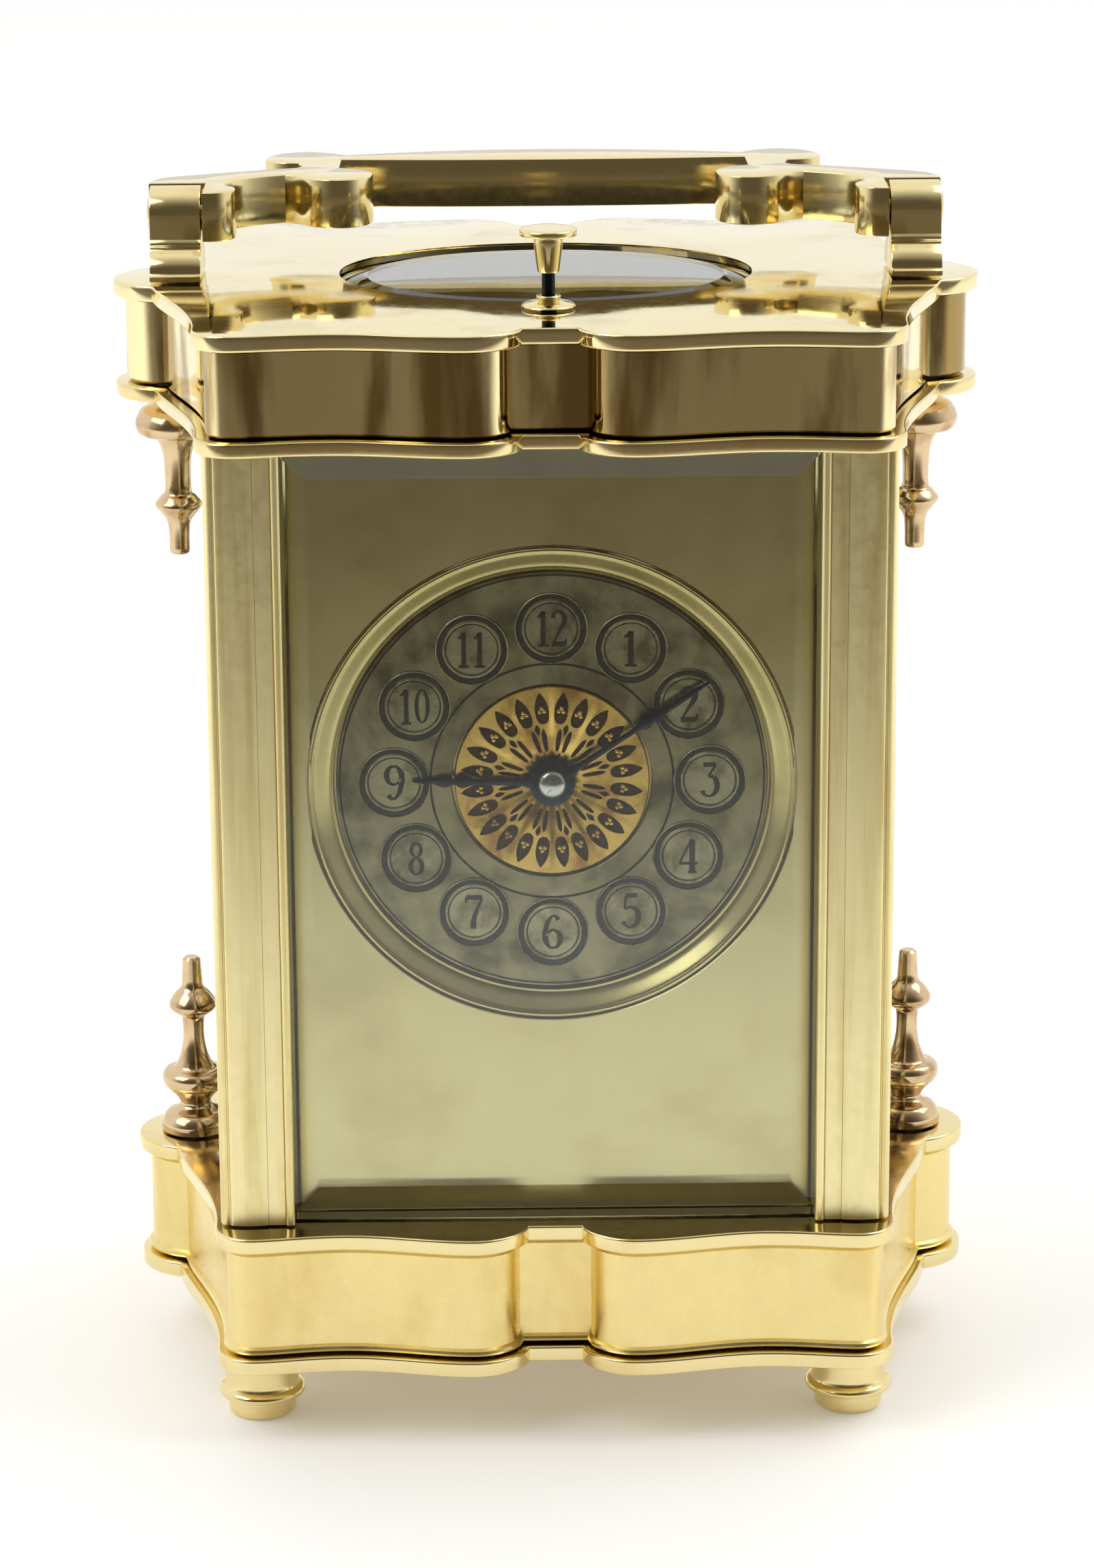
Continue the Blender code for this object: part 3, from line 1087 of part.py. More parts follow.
def add_barrel(name, place, wheel_y, drum_front, drum_back):
    """A spring barrel: great wheel and drum on the winding arbor, which has its own square end."""
    x, z = place
    barrel = wheel(name + "_barrel", GREAT_WHEEL_TEETH, GREAT_WHEEL_RADIUS, GREAT_WHEEL_THICKNESS,
                   wheel_y, x, z, crossed=False)
    drum = rod_front(name + "_drum", BARREL_RADIUS, drum_front, drum_back, x, z, SATIN_BRASS, BARREL_STEPS)
    join(barrel, drum)
    bore = rod_front(name + "_barrel_bore", WINDING_ARBOR_RADIUS + BORE_GAP, FRONT_PLATE_Y, BACK_PLATE_Y,
                     x, z, SATIN_BRASS, ARBOR_STEPS)
    cut(barrel, bore)
    front = FRONT_PLATE_BACK_Y + SEAT_GAP
    back = BACK_PLATE_Y - SEAT_GAP
    ratchet_y = BACK_PLATE_BACK_Y + SEAT_GAP
    profile = (
        (0.0, -FRONT_PLATE_Y - SEAT_GAP), (BARREL_PIVOT_RADIUS, -FRONT_PLATE_Y - SEAT_GAP),
        (BARREL_PIVOT_RADIUS, -front), (WINDING_ARBOR_RADIUS, -front), (WINDING_ARBOR_RADIUS, -back),
        (BARREL_PIVOT_RADIUS, -back), (BARREL_PIVOT_RADIUS, -ratchet_y - TRAIN_THICKNESS / 2),
        (0.0, -ratchet_y - TRAIN_THICKNESS / 2),
    )
    arbor = turned(name + "_winding_arbor", profile, ARBOR_STEPS, BRIGHT_STEEL)
    face_front(arbor, x, 0.0, z)
    add_gear_on(arbor, name + "_ratchet", RATCHET_TEETH, RATCHET_RADIUS, TRAIN_THICKNESS, ratchet_y, x, z,
                MOTION_TOOTH_DEPTH)
    square_front = ratchet_y + TRAIN_THICKNESS / 2
    square_back = BACK_PLATE_BACK_Y + WINDING_SQUARE_REACH
    square = box(name + "_square", (WINDING_SQUARE, square_back - square_front, WINDING_SQUARE),
                 (x, (square_back + square_front) / 2, z), BRIGHT_STEEL)
    join(arbor, square)


def add_going_train(places):
    add_barrel("going", places["going_barrel"], GOING_WHEEL_Y,
               GOING_WHEEL_Y + GREAT_WHEEL_THICKNESS / 2, STRIKE_WHEEL_Y - WHEEL_GAP)
    x, z = places["centre"]
    centre = wheel("centre_wheel", CENTRE_WHEEL_TEETH, CENTRE_WHEEL_RADIUS, TRAIN_THICKNESS,
                   CENTRE_WHEEL_Y, x, z)
    arbor = rod_front("centre_arbor", ARBOR_RADIUS, MINUTE_HAND_Y, BACK_PLATE_BACK_Y + SETTING_SQUARE_REACH,
                      x, z, BRIGHT_STEEL, ARBOR_STEPS)
    join(centre, arbor)
    add_gear_on(centre, "centre_pinion", PINION_TEETH, PINION_RADIUS, GREAT_WHEEL_THICKNESS + WHEEL_GAP,
                GOING_WHEEL_Y - SEAT_GAP, x, z, MOTION_TOOTH_DEPTH)
    add_gear_on(centre, "cannon_pinion", CANNON_PINION_TEETH, CANNON_PINION_RADIUS, MOTION_THICKNESS,
                MINUTE_WHEEL_Y, x, z, MOTION_TOOTH_DEPTH)
    x, z = places["third"]
    third = wheel("third_wheel", THIRD_WHEEL_TEETH, THIRD_WHEEL_RADIUS, TRAIN_THICKNESS, THIRD_WHEEL_Y, x, z)
    pivoted_arbor(third, "third_arbor", x, z)
    add_gear_on(third, "third_pinion", PINION_TEETH, THIRD_PINION_RADIUS, TRAIN_THICKNESS + SEAT_GAP,
                CENTRE_WHEEL_Y - SEAT_GAP / 2, x, z, FINE_TOOTH_DEPTH)
    x, z = places["contrate"]
    disc = circle(CONTRATE_RADIUS - CONTRATE_CROWN_WALL / 2, TURNING_STEPS)
    contrate = flat_shape("contrate_wheel", [disc], TRAIN_THICKNESS, SATIN_BRASS)
    face_front(contrate, x, CONTRATE_Y + TRAIN_THICKNESS / 2, z)
    crown = crown_ring("contrate_crown", CONTRATE_TEETH, CONTRATE_RADIUS, CONTRATE_CROWN_WALL,
                       CONTRATE_CROWN_HEIGHT, FINE_TOOTH_DEPTH)
    join(contrate, face_front(crown, x, CONTRATE_Y + TRAIN_THICKNESS / 2, z))
    pivoted_arbor(contrate, "contrate_arbor", x, z)
    add_gear_on(contrate, "contrate_pinion", PINION_TEETH, CONTRATE_PINION_RADIUS,
                TRAIN_THICKNESS + SEAT_GAP, THIRD_WHEEL_Y - SEAT_GAP / 2, x, z, FINE_TOOTH_DEPTH)


def crown_ring(name, teeth, radius, wall, height, depth):
    """A ring whose top edge is cut into V teeth, as a contrate wheel's is."""
    mesh = bpy.data.meshes.new(name)
    count = 2 * teeth
    points = []
    for i in range(count):
        top = height if i % 2 == 0 else height - depth
        for reach, level in ((radius, 0.0), (radius, top), (radius - wall, top), (radius - wall, 0.0)):
            x, y = polar(reach, i * math.tau / count)
            points.append((x, y, level))
    faces = []
    for i in range(count):
        here, following = 4 * i, 4 * ((i + 1) % count)
        for corner in range(4):
            other = (corner + 1) % 4
            faces.append((here + corner, following + corner, following + other, here + other))
    mesh.from_pydata(points, [], faces)
    return add_piece(name, mesh, SATIN_BRASS)


def add_strike_train(places):
    add_barrel("strike", places["strike_barrel"], STRIKE_WHEEL_Y,
               GOING_WHEEL_Y + GREAT_WHEEL_THICKNESS + WHEEL_GAP, STRIKE_WHEEL_Y + GREAT_WHEEL_THICKNESS / 2)
    x, z = places["pin"]
    pin_wheel = wheel("strike_pin_wheel", PIN_WHEEL_TEETH, PIN_WHEEL_RADIUS, TRAIN_THICKNESS, PIN_WHEEL_Y, x, z,
                      crossed=False)
    pivoted_arbor(pin_wheel, "pin_wheel_arbor", x, z)
    add_gear_on(pin_wheel, "pin_wheel_pinion", PINION_TEETH, PIN_WHEEL_PINION_RADIUS,
                GREAT_WHEEL_THICKNESS + SEAT_GAP, STRIKE_WHEEL_Y - SEAT_GAP / 2, x, z, MOTION_TOOTH_DEPTH)
    reach = PIN_WHEEL_RADIUS - TOOTH_DEPTH - WHEEL_RIM / 2
    for i in range(LIFTING_PINS):
        across, up = polar(reach, math.tau * (i + 0.5) / LIFTING_PINS)
        pin = rod_front(f"lifting_pin_{i}", LIFTING_PIN_RADIUS, PIN_WHEEL_Y + TRAIN_THICKNESS / 2,
                        PIN_WHEEL_Y + TRAIN_THICKNESS + LIFTING_PIN_LENGTH, x + across, z + up,
                        BRIGHT_STEEL, PIN_STEPS)
        join(pin_wheel, pin)
    x, z = places["fly"]
    fly = box("strike_fly", (FLY_VANE_LENGTH, FLY_VANE_DEPTH, FLY_VANE_THICKNESS), (x, FLY_VANE_Y, z),
              POLISHED_BRASS)
    pivoted_arbor(fly, "fly_arbor", x, z)
    add_gear_on(fly, "fly_pinion", ESCAPE_PINION_TEETH, FLY_PINION_RADIUS, TRAIN_THICKNESS + SEAT_GAP,
                PIN_WHEEL_Y - SEAT_GAP / 2, x, z, FINE_TOOTH_DEPTH)
    add_hammer(places)
    add_gong()


def add_hammer(places):
    """Hammer outside the back plate, resting just off the outer turn of the gong."""
    x, z = places["hammer"]
    turns = GONG_LOOPS - 1 + (HAMMER_HEAD_ANGLE + math.pi / 2) / math.tau
    reach = (GONG_INNER_RADIUS + GONG_PITCH * turns + GONG_WIRE_RADIUS + HAMMER_REST_GAP + HAMMER_HEAD_RADIUS)
    head_x, head_z = polar(reach, HAMMER_HEAD_ANGLE)
    head_z += BARREL_Z
    gong_y = BACK_PLATE_BACK_Y + GONG_DISTANCE
    head_half = HAMMER_HEAD_LENGTH / 2
    front = FRONT_PLATE_BACK_Y + SEAT_GAP
    back = BACK_PLATE_Y - SEAT_GAP
    tip = gong_y + HAMMER_ARM_THICKNESS
    profile = (
        (0.0, -FRONT_PLATE_Y - SEAT_GAP), (PIVOT_RADIUS, -FRONT_PLATE_Y - SEAT_GAP), (PIVOT_RADIUS, -front),
        (ARBOR_RADIUS, -front), (ARBOR_RADIUS, -back), (PIVOT_RADIUS, -back),
        (PIVOT_RADIUS, -BACK_PLATE_BACK_Y - SEAT_GAP), (ARBOR_RADIUS, -BACK_PLATE_BACK_Y - SEAT_GAP),
        (ARBOR_RADIUS, -tip), (0.0, -tip),
    )
    hammer = face_front(turned("hammer", profile, ARBOR_STEPS, BRIGHT_STEEL), x, 0.0, z)
    length = math.hypot(head_x - x, head_z - z)
    arm = box("hammer_arm", (length, HAMMER_ARM_THICKNESS, HAMMER_ARM_WIDTH),
              ((head_x + x) / 2, gong_y, (head_z + z) / 2), BRIGHT_STEEL)
    arm.rotation_euler = (0.0, math.atan2(z - head_z, head_x - x), 0.0)
    join(hammer, arm)
    head = rod_front("hammer_head", HAMMER_HEAD_RADIUS, gong_y - head_half, gong_y + head_half, head_x, head_z,
                     BRIGHT_STEEL, TURNING_STEPS)
    join(hammer, head)


def add_gong():
    """Coiled gong: one unbroken wire in a flat spiral, held at its inner end by the stand."""
    gong_y = BACK_PLATE_BACK_Y + GONG_DISTANCE
    wire = 2 * GONG_WIRE_RADIUS
    points = [(-wire, -GONG_INNER_RADIUS)]
    for i in range(GONG_LOOPS * GONG_LOOP_POINTS + 1):
        turns = i / GONG_LOOP_POINTS
        points.append(polar(GONG_INNER_RADIUS + GONG_PITCH * turns, math.tau * turns - math.pi / 2))
    least = min(
        math.dist(points[i], points[j]) - wire
        for i in range(len(points)) for j in range(i + GONG_LOOP_POINTS // 2, len(points))
    )
    print(f"least gap of the gong to itself: {least * 1000:.2f} mm")
    curve = bpy.data.curves.new("gong", "CURVE")
    curve.dimensions = "3D"
    curve.bevel_depth = GONG_WIRE_RADIUS
    curve.bevel_resolution = 1
    curve.use_fill_caps = True
    spline = curve.splines.new("POLY")
    spline.points.add(len(points) - 1)
    for point, (x, z) in zip(spline.points, points):
        point.co = (x, 0.0, z, 1.0)
    drawn = bpy.data.objects.new("gong_wire", curve)
    PARTS.objects.link(drawn)
    mesh = mesh_of(drawn)
    bpy.data.objects.remove(drawn)
    gong = add_piece("gong", mesh, BLUED_STEEL, True)
    gong.location = (0.0, gong_y, BARREL_Z)

    face_x = -wire - SEAT_GAP
    low = BARREL_Z - GONG_INNER_RADIUS - GONG_STAND_BELOW_WIRE
    front = BACK_PLATE_BACK_Y + SEAT_GAP
    back = gong_y + GONG_STAND_PAST_WIRE
    box("gong_stand", (GONG_STAND_WIDTH, back - front, GONG_STAND_RISE),
        (face_x - GONG_STAND_WIDTH / 2, (front + back) / 2, low + GONG_STAND_RISE / 2), POLISHED_BRASS)


def add_repeat_lever():
    """Lever on the front plate that the button's rod pushes down."""
    middle = FRONT_PLATE_Y - LEVER_DISTANCE
    half = LEVER_THICKNESS / 2
    top = CORNICE_LOWER_Z - BUTTON_ROD_BELOW - LEVER_TIP_BELOW_ROD
    pad_z = top - LEVER_THICKNESS / 2
    length = math.hypot(LEVER_X, pad_z - LEVER_Z)
    lean = math.atan2(pad_z - LEVER_Z, -LEVER_X)
    lever = rod_front("repeat_lever", LEVER_WIDTH, middle - half, middle + half, LEVER_X, LEVER_Z,
                      BRIGHT_STEEL)
    arm = box("lever_arm", (length, LEVER_THICKNESS - SEAT_GAP, LEVER_WIDTH),
              (LEVER_X / 2, middle, (pad_z + LEVER_Z) / 2), BRIGHT_STEEL)
    arm.rotation_euler = (0.0, -lean, 0.0)
    join(lever, arm)
    pad = box("lever_pad", (LEVER_PAD_LENGTH, LEVER_THICKNESS, LEVER_THICKNESS),
              (0.0, middle, pad_z), BRIGHT_STEEL)
    join(lever, pad)
    stud = rod_front("lever_stud", LEVER_STUD_RADIUS, middle, FRONT_PLATE_BACK_Y - SEAT_GAP, LEVER_X, LEVER_Z,
                     BRIGHT_STEEL, ARBOR_STEPS)
    join(lever, stud)


def add_platform(places):
    """Platform across the plates' tops, with the escape wheel, balance and cock."""
    x, contrate_z = places["contrate"]
    low = PLATE_TOP_Z + SEAT_GAP
    top = low + PLATFORM_THICKNESS
    escape_y = CONTRATE_Y + TRAIN_THICKNESS / 2 - CONTRATE_CROWN_HEIGHT - MESH_GAP - ESCAPE_PINION_RADIUS
    sheet = [(-PLATFORM_HALF_WIDTH, FRONT_PLATE_Y), (PLATFORM_HALF_WIDTH, FRONT_PLATE_Y),
             (PLATFORM_HALF_WIDTH, BACK_PLATE_BACK_Y), (-PLATFORM_HALF_WIDTH, BACK_PLATE_BACK_Y)]
    hole = circle(STAFF_RADIUS + BORE_GAP, ARBOR_STEPS, x, escape_y)
    platform = flat_shape("platform", [sheet, hole], PLATFORM_THICKNESS, GILT)
    platform.location = (0.0, 0.0, (low + top) / 2)

    escape_z = top + ESCAPE_WHEEL_RISE
    teeth = gear_outline(ESCAPE_WHEEL_TEETH, ESCAPE_WHEEL_RADIUS, TOOTH_DEPTH)
    escape = flat_shape("escape_wheel", [teeth], ESCAPE_WHEEL_THICKNESS, BRIGHT_STEEL)
    escape.location = (x, escape_y, escape_z + ESCAPE_WHEEL_THICKNESS / 2)
    pinion_low = contrate_z + CONTRATE_RADIUS - 2 * ESCAPE_PINION_RADIUS
    staff = rod("escape_staff", STAFF_RADIUS, pinion_low - SEAT_GAP,
                escape_z + ESCAPE_WHEEL_THICKNESS + ESCAPE_WHEEL_RISE, ARBOR_STEPS, BRIGHT_STEEL)
    staff.location = (x, escape_y, 0.0)
    join(escape, staff)
    pinion_high = low - WHEEL_GAP
    leaves = flat_shape("escape_pinion", [gear_outline(ESCAPE_PINION_TEETH, ESCAPE_PINION_RADIUS,
                                                       FINE_TOOTH_DEPTH)], pinion_high - pinion_low, BRIGHT_STEEL)
    leaves.location = (x, escape_y, (pinion_high + pinion_low) / 2)
    join(escape, leaves)

    rim_z = top + BALANCE_RISE
    loops = [circle(BALANCE_RADIUS, DIAL_POINTS)]
    loops += crossing_loops(ESCAPE_HUB_RADIUS, BALANCE_RADIUS - BALANCE_RIM, 2)
    balance = flat_shape("balance_wheel", loops, BALANCE_THICKNESS, GILT)
    balance.location = (0.0, BALANCE_Y, rim_z + BALANCE_THICKNESS / 2)
    cock_z = rim_z + BALANCE_THICKNESS + ESCAPE_WHEEL_RISE
    staff = rod("balance_staff", STAFF_RADIUS, top + SEAT_GAP, cock_z + COCK_THICKNESS - SEAT_GAP,
                ARBOR_STEPS, BRIGHT_STEEL)
    staff.location = (0.0, BALANCE_Y, 0.0)
    join(balance, staff)

    foot_x = BALANCE_RADIUS + COCK_SIDE_GAP
    end_x = foot_x + COCK_FOOT_DEPTH
    half = COCK_WIDTH / 2
    opening = math.asin(half / COCK_BOSS_RADIUS)
    sweep = math.tau - 2 * opening
    boss = [polar(COCK_BOSS_RADIUS, opening + sweep * i / HAND_BOSS_POINTS)
            for i in range(HAND_BOSS_POINTS + 1)]
    arm = boss + [(end_x, -half), (end_x, half)]
    staff_hole = circle(STAFF_RADIUS + BORE_GAP, ARBOR_STEPS)
    cock = flat_shape("balance_cock", [arm, staff_hole], COCK_THICKNESS, GILT)
    cock.location = (0.0, BALANCE_Y, cock_z + COCK_THICKNESS / 2)
    foot_high = cock_z + COCK_THICKNESS / 2
    foot_low = top + SEAT_GAP
    foot = box("cock_foot", (COCK_FOOT_DEPTH - FOOT_RELIEF, COCK_WIDTH - FOOT_RELIEF, foot_high - foot_low),
               ((foot_x + end_x) / 2, BALANCE_Y, (foot_high + foot_low) / 2), GILT)
    join(cock, foot)


def main():
    add_case()
    add_feet()
    add_pillars()
    add_glasses()
    add_finials()
    add_handle()
    add_button()
    add_door()
    add_dial()
    places = train_places(add_hands_and_motion_work())
    add_plates(places)
    add_going_train(places)
    add_strike_train(places)
    add_repeat_lever()
    add_platform(places)
    for piece in PARTS.objects:
        if any(modifier.type == "BOOLEAN" for modifier in piece.modifiers):
            weld_seams(piece)


main()
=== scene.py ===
"""Looks of a brass carriage clock that strikes again at a press of its button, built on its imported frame."""
import json
import math

import bmesh
import bpy
from mathutils import Matrix, Vector
from mathutils.geometry import interpolate_bezier


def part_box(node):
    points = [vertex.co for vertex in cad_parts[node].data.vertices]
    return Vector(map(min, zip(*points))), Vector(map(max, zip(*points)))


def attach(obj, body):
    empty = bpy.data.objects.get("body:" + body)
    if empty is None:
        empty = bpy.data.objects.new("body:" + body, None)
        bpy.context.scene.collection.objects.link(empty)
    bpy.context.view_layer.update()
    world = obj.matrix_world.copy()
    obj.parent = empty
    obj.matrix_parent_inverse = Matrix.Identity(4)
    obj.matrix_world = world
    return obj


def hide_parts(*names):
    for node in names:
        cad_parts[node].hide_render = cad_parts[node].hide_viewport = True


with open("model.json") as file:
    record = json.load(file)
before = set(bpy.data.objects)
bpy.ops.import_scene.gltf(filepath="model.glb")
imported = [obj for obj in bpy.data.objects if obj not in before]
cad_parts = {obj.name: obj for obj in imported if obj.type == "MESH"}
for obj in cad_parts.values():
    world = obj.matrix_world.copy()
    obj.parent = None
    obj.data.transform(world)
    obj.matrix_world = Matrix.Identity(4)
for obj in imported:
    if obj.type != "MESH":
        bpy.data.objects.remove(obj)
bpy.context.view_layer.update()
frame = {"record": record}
BODY_OF = {node: body for body, nodes in frame["record"]["behaviour"]["bodies"].items() for node in nodes}

MM = 0.001

# Plan of the case: one quarter of its serpentine edge, from the recess to the lobe
LOBE_HALF_SPAN = 53.8 * MM
LOBE_RADIUS = 7.4 * MM
LOBE_START = math.radians(72.7)
CASE_HALF_DEPTH = 41.2 * MM
SERPENTINE_SHARES = (
    ((0.061, 0.879), (0.065, 0.934), (0.123, 1.000), (0.186, 1.000)),
    ((0.186, 1.000), (0.279, 1.000), (0.381, 0.942), (0.483, 0.942)),
    ((0.483, 0.942), (0.576, 0.942), (0.641, 0.971), (0.697, 0.971)),
    ((0.697, 0.971), (0.745, 0.971), (0.784, 0.917), (0.784, 0.854)),
    ((0.784, 0.854), (0.784, 0.583), (0.881, 0.340), (0.898, 0.199)),
)
CURVE_POINTS = 14
LOBE_POINTS = 14
FRIEZE_INSET = 1.4 * MM

# Oval opening and its glass
OVAL_Y = 1.5 * MM
OVAL_HALF_WIDTH = 26.1 * MM
OVAL_HALF_DEPTH = 21.0 * MM
OVAL_LEDGE = 1.5 * MM
OVAL_POINTS = 96
SEAT_GAP = 0.3 * MM

# Dial
DIAL_Z = 82.7 * MM
DIAL_SEAT_Y = -27.9 * MM
CARTOUCHE_CIRCLE = 19.25 * MM
NUMERAL_HEIGHT = 4.5 * MM

# Repeat button
BUTTON_Y = -23.5 * MM
BUTTON_BORE = 1.1 * MM
BUTTON_STEPS = 32

CORNERS = (("front_left", -1, -1), ("front_right", 1, -1), ("rear_left", -1, 1), ("rear_right", 1, 1))
SIDES = (("left", -1), ("right", 1))
TURNING_STEPS = 72


# Node and colour helpers

def linear(hex_colour):
    """A written sRGB colour as the linear colour that shaders take."""
    parts = [int(hex_colour[i:i + 2], 16) / 255 for i in (1, 3, 5)]
    return tuple(p / 12.92 if p <= 0.04045 else ((p + 0.055) / 1.055) ** 2.4 for p in parts) + (1.0,)


def add(tree, kind, sockets=None, **settings):
    """Adds a node with its settings, and gives its sockets values or links."""
    made = tree.nodes.new(kind)
    for name, value in settings.items():
        setattr(made, name, value)
    for name, value in (sockets or {}).items():
        if isinstance(value, bpy.types.NodeSocket):
            tree.links.new(value, made.inputs[name])
        else:
            made.inputs[name].default_value = value
    return made


def mixed(tree, share, first, second):
    """The colour between two written colours, at a socket's share."""
    return add(tree, "ShaderNodeMix", {0: share, 6: linear(first), 7: linear(second)},
               data_type="RGBA").outputs[2]


def maths(tree, operation, first, second):
    return add(tree, "ShaderNodeMath", {0: first, 1: second}, operation=operation).outputs[0]


def new_material(name):
    material = bpy.data.materials.new(name)
    material.use_nodes = True
    material.node_tree.nodes.clear()
    return material, material.node_tree


def aged_metal(name, clean, tarnish_and_painted_reflection, roughness, blotch=9.0, cover=(0.45, 0.75),
               grain=(0.35, 0.35, 0.35), relief=0.004, rough_spread=0.10, handling=1.6, stretch=1.0):
    """A metal with soft darker blotches, fine wear in its gloss and, where it has one, a drawn grain. The
    blotches are tarnished brass, but on the cornice's banded frieze they are painted reflection.

    Sizes are in mm: blotch is how wide a darker patch is and stretch how many times taller, handling how
    wide the dull finger marks are, and grain is the spacing of the drawn lines along each axis."""
    material, tree = new_material(name)
    place = add(tree, "ShaderNodeTexCoord").outputs["Object"]
    tall = add(tree, "ShaderNodeMapping", {"Vector": place, "Scale": (1.0, 1.0, 1.0 / stretch)})
    patches = add(tree, "ShaderNodeTexNoise", {"Vector": tall.outputs["Vector"], "Scale": 1 / (blotch * MM),
                                               "Detail": 5.0, "Roughness": 0.55, "Distortion": 0.3})
    dark_share = add(tree, "ShaderNodeMapRange", {"Value": patches.outputs["Fac"], "From Min": cover[0],
                                            "From Max": cover[1]}, interpolation_type="SMOOTHSTEP")
    colour = mixed(tree, dark_share.outputs["Result"], clean, tarnish_and_painted_reflection)
    marks = add(tree, "ShaderNodeTexNoise", {"Vector": place, "Scale": 1 / (handling * MM), "Detail": 6.0,
                                             "Roughness": 0.7})
    gloss = add(tree, "ShaderNodeMapRange", {"Value": marks.outputs["Fac"], "From Min": 0.3, "From Max": 0.8,
                                             "To Min": max(roughness - rough_spread / 2, 0.02),
                                             "To Max": roughness + rough_spread})
    lines = add(tree, "ShaderNodeMapping", {"Vector": place, "Scale": tuple(1 / (s * MM) for s in grain)})
    drawn = add(tree, "ShaderNodeTexNoise", {"Vector": lines.outputs["Vector"], "Scale": 1.0, "Detail": 3.0,
                                             "Roughness": 0.6})
    bump = add(tree, "ShaderNodeBump", {"Height": drawn.outputs["Fac"], "Strength": 1.0,
                                        "Distance": relief * MM})
    shader = add(tree, "ShaderNodeBsdfPrincipled", {
        "Base Color": colour, "Metallic": 1.0, "Roughness": gloss.outputs["Result"],
        "Normal": bump.outputs["Normal"]})
    add(tree, "ShaderNodeOutputMaterial", {"Surface": shader.outputs["BSDF"]})
    return material


# Materials

# Polished cast brass: pale greenish yellow, clear reflections that soften in the finger marks.
POLISHED_BRASS = aged_metal("polished_cast_brass", "#efdda4", "#dfc47f", 0.13, blotch=14.0, cover=(0.5, 0.85))
# The base's frieze is a touch duller: broad yellow with a fine upright rub.
FRIEZE_BRASS = aged_metal("satin_cast_brass", "#f2de9a", "#e4c982", 0.27, blotch=9.0, cover=(0.42, 0.80),
                          grain=(0.25, 0.25, 3.0), relief=0.003, handling=4.0, stretch=2.5)
# The cornice and top plate are mirror-polished, so they show the room and the handle sharply.
MIRROR_BRASS = aged_metal("mirror_polished_brass", "#f2e4b0", "#d6be82", 0.06, blotch=12.0,
                          cover=(0.48, 0.85), relief=0.001, rough_spread=0.08, stretch=1.6)
# The cornice's frieze has tall soft brown bands between its bright ones: painted reflection of the dim room in
# front, which its mirror brass would show.
PAINTED_REFLECTION_BRASS = aged_metal("mirror_brass_painted_reflection_bands", "#faeab4", "#a48b58", 0.07, blotch=15.0, cover=(0.46, 0.56),
                          relief=0.001, rough_spread=0.08, stretch=6.0)
# Drawn brass moulding, satin: greenish yellow with fine vertical lines from the drawing die.
DRAWN_BRASS = aged_metal("drawn_satin_brass", "#f6e9b0", "#e0cd8c", 0.32, blotch=2.2, cover=(0.40, 0.75),
                         grain=(0.12, 0.12, 30.0), relief=0.008, rough_spread=0.10, stretch=22.0)
# Sheet brass rubbed with fine abrasive: flat, greenish and dull, so it only shows broad tones.
RUBBED_BRASS = aged_metal("rubbed_sheet_brass", "#cdbf90", "#bdae7e", 0.25, blotch=16.0, cover=(0.40, 0.78),
                          grain=(0.5, 0.5, 4.0), relief=0.001, rough_spread=0.03, handling=6.0)
# The bezel was turned and left satin: the mask's tone with rings of light.
BEZEL_BRASS = aged_metal("turned_satin_brass", "#c9ba86", "#b3a26e", 0.22, blotch=12.0, cover=(0.45, 0.80),
                         relief=0.003, rough_spread=0.06)
# Turned gunmetal: a little rosier than the case, bright on its beads and brown in its hollows.
ROSE_BRASS = aged_metal("turned_gunmetal", "#dcc198", "#a9825d", 0.12, blotch=4.0, cover=(0.45, 0.80),
                        grain=(3.0, 3.0, 0.12), relief=0.004)
# Fire gilding on the dial's pierced centre: deep yellow and frosted.
GILT = aged_metal("fire_gilt_brass", "#e6c06c", "#a3793e", 0.27, blotch=5.0, cover=(0.42, 0.72), relief=0.006)
# Silvered brass gone grey: olive grey with darker worn patches.
SILVERED = aged_metal("tarnished_silvering", "#9d9374", "#5f5840", 0.32, blotch=7.0, cover=(0.36, 0.68),
                      relief=0.010, rough_spread=0.14)
# Silvering rubbed a little brighter on the raised cartouches.
SILVER_EDGE = aged_metal("rubbed_silvering", "#a69d80", "#6d664c", 0.28, blotch=3.5, cover=(0.38, 0.70),
                         relief=0.008)
# Movement brass: gilt, grained by a brush.
MOVEMENT_BRASS = aged_metal("grained_gilt_brass", "#dcc081", "#bb9a58", 0.26, blotch=9.0,
                            grain=(2.5, 2.5, 0.10), relief=0.006)
# Heat-blued steel: nearly black, blue only where it catches light.
BLUED_STEEL = aged_metal("heat_blued_steel", "#2a303c", "#1d1c20", 0.20, blotch=2.0, relief=0.002)
# Polished steel of arbors, hammer and springs: cool and bright with a few grey marks.
POLISHED_STEEL = aged_metal("polished_steel", "#bfc1c3", "#8d8f94", 0.16, blotch=3.0, relief=0.002)
# Dark brown brass, painted shade: behind the pierced centre it makes the openings read as dark, and it lines
# the oval opening where the clock's interior lies in shade.
DARK_BRASS_PAINTED_SHADE = aged_metal("dark_brass_painted_shade", "#4d3a22", "#2c2116", 0.5, blotch=2.0, relief=0.006)


def wax_material():
    """Black engraver's wax: matt, sunk in the engraving, with greyish dust."""
    material, tree = new_material("black_engraving_wax")
    place = add(tree, "ShaderNodeTexCoord").outputs["Object"]
    dust = add(tree, "ShaderNodeTexNoise", {"Vector": place, "Scale": 1 / (0.6 * MM), "Detail": 4.0})
    tone = mixed(tree, dust.outputs["Fac"], "#1d1c18", "#45433a")
    shader = add(tree, "ShaderNodeBsdfPrincipled", {"Base Color": tone, "Roughness": 0.62, "IOR": 1.45})
    add(tree, "ShaderNodeOutputMaterial", {"Surface": shader.outputs["BSDF"]})
    return material


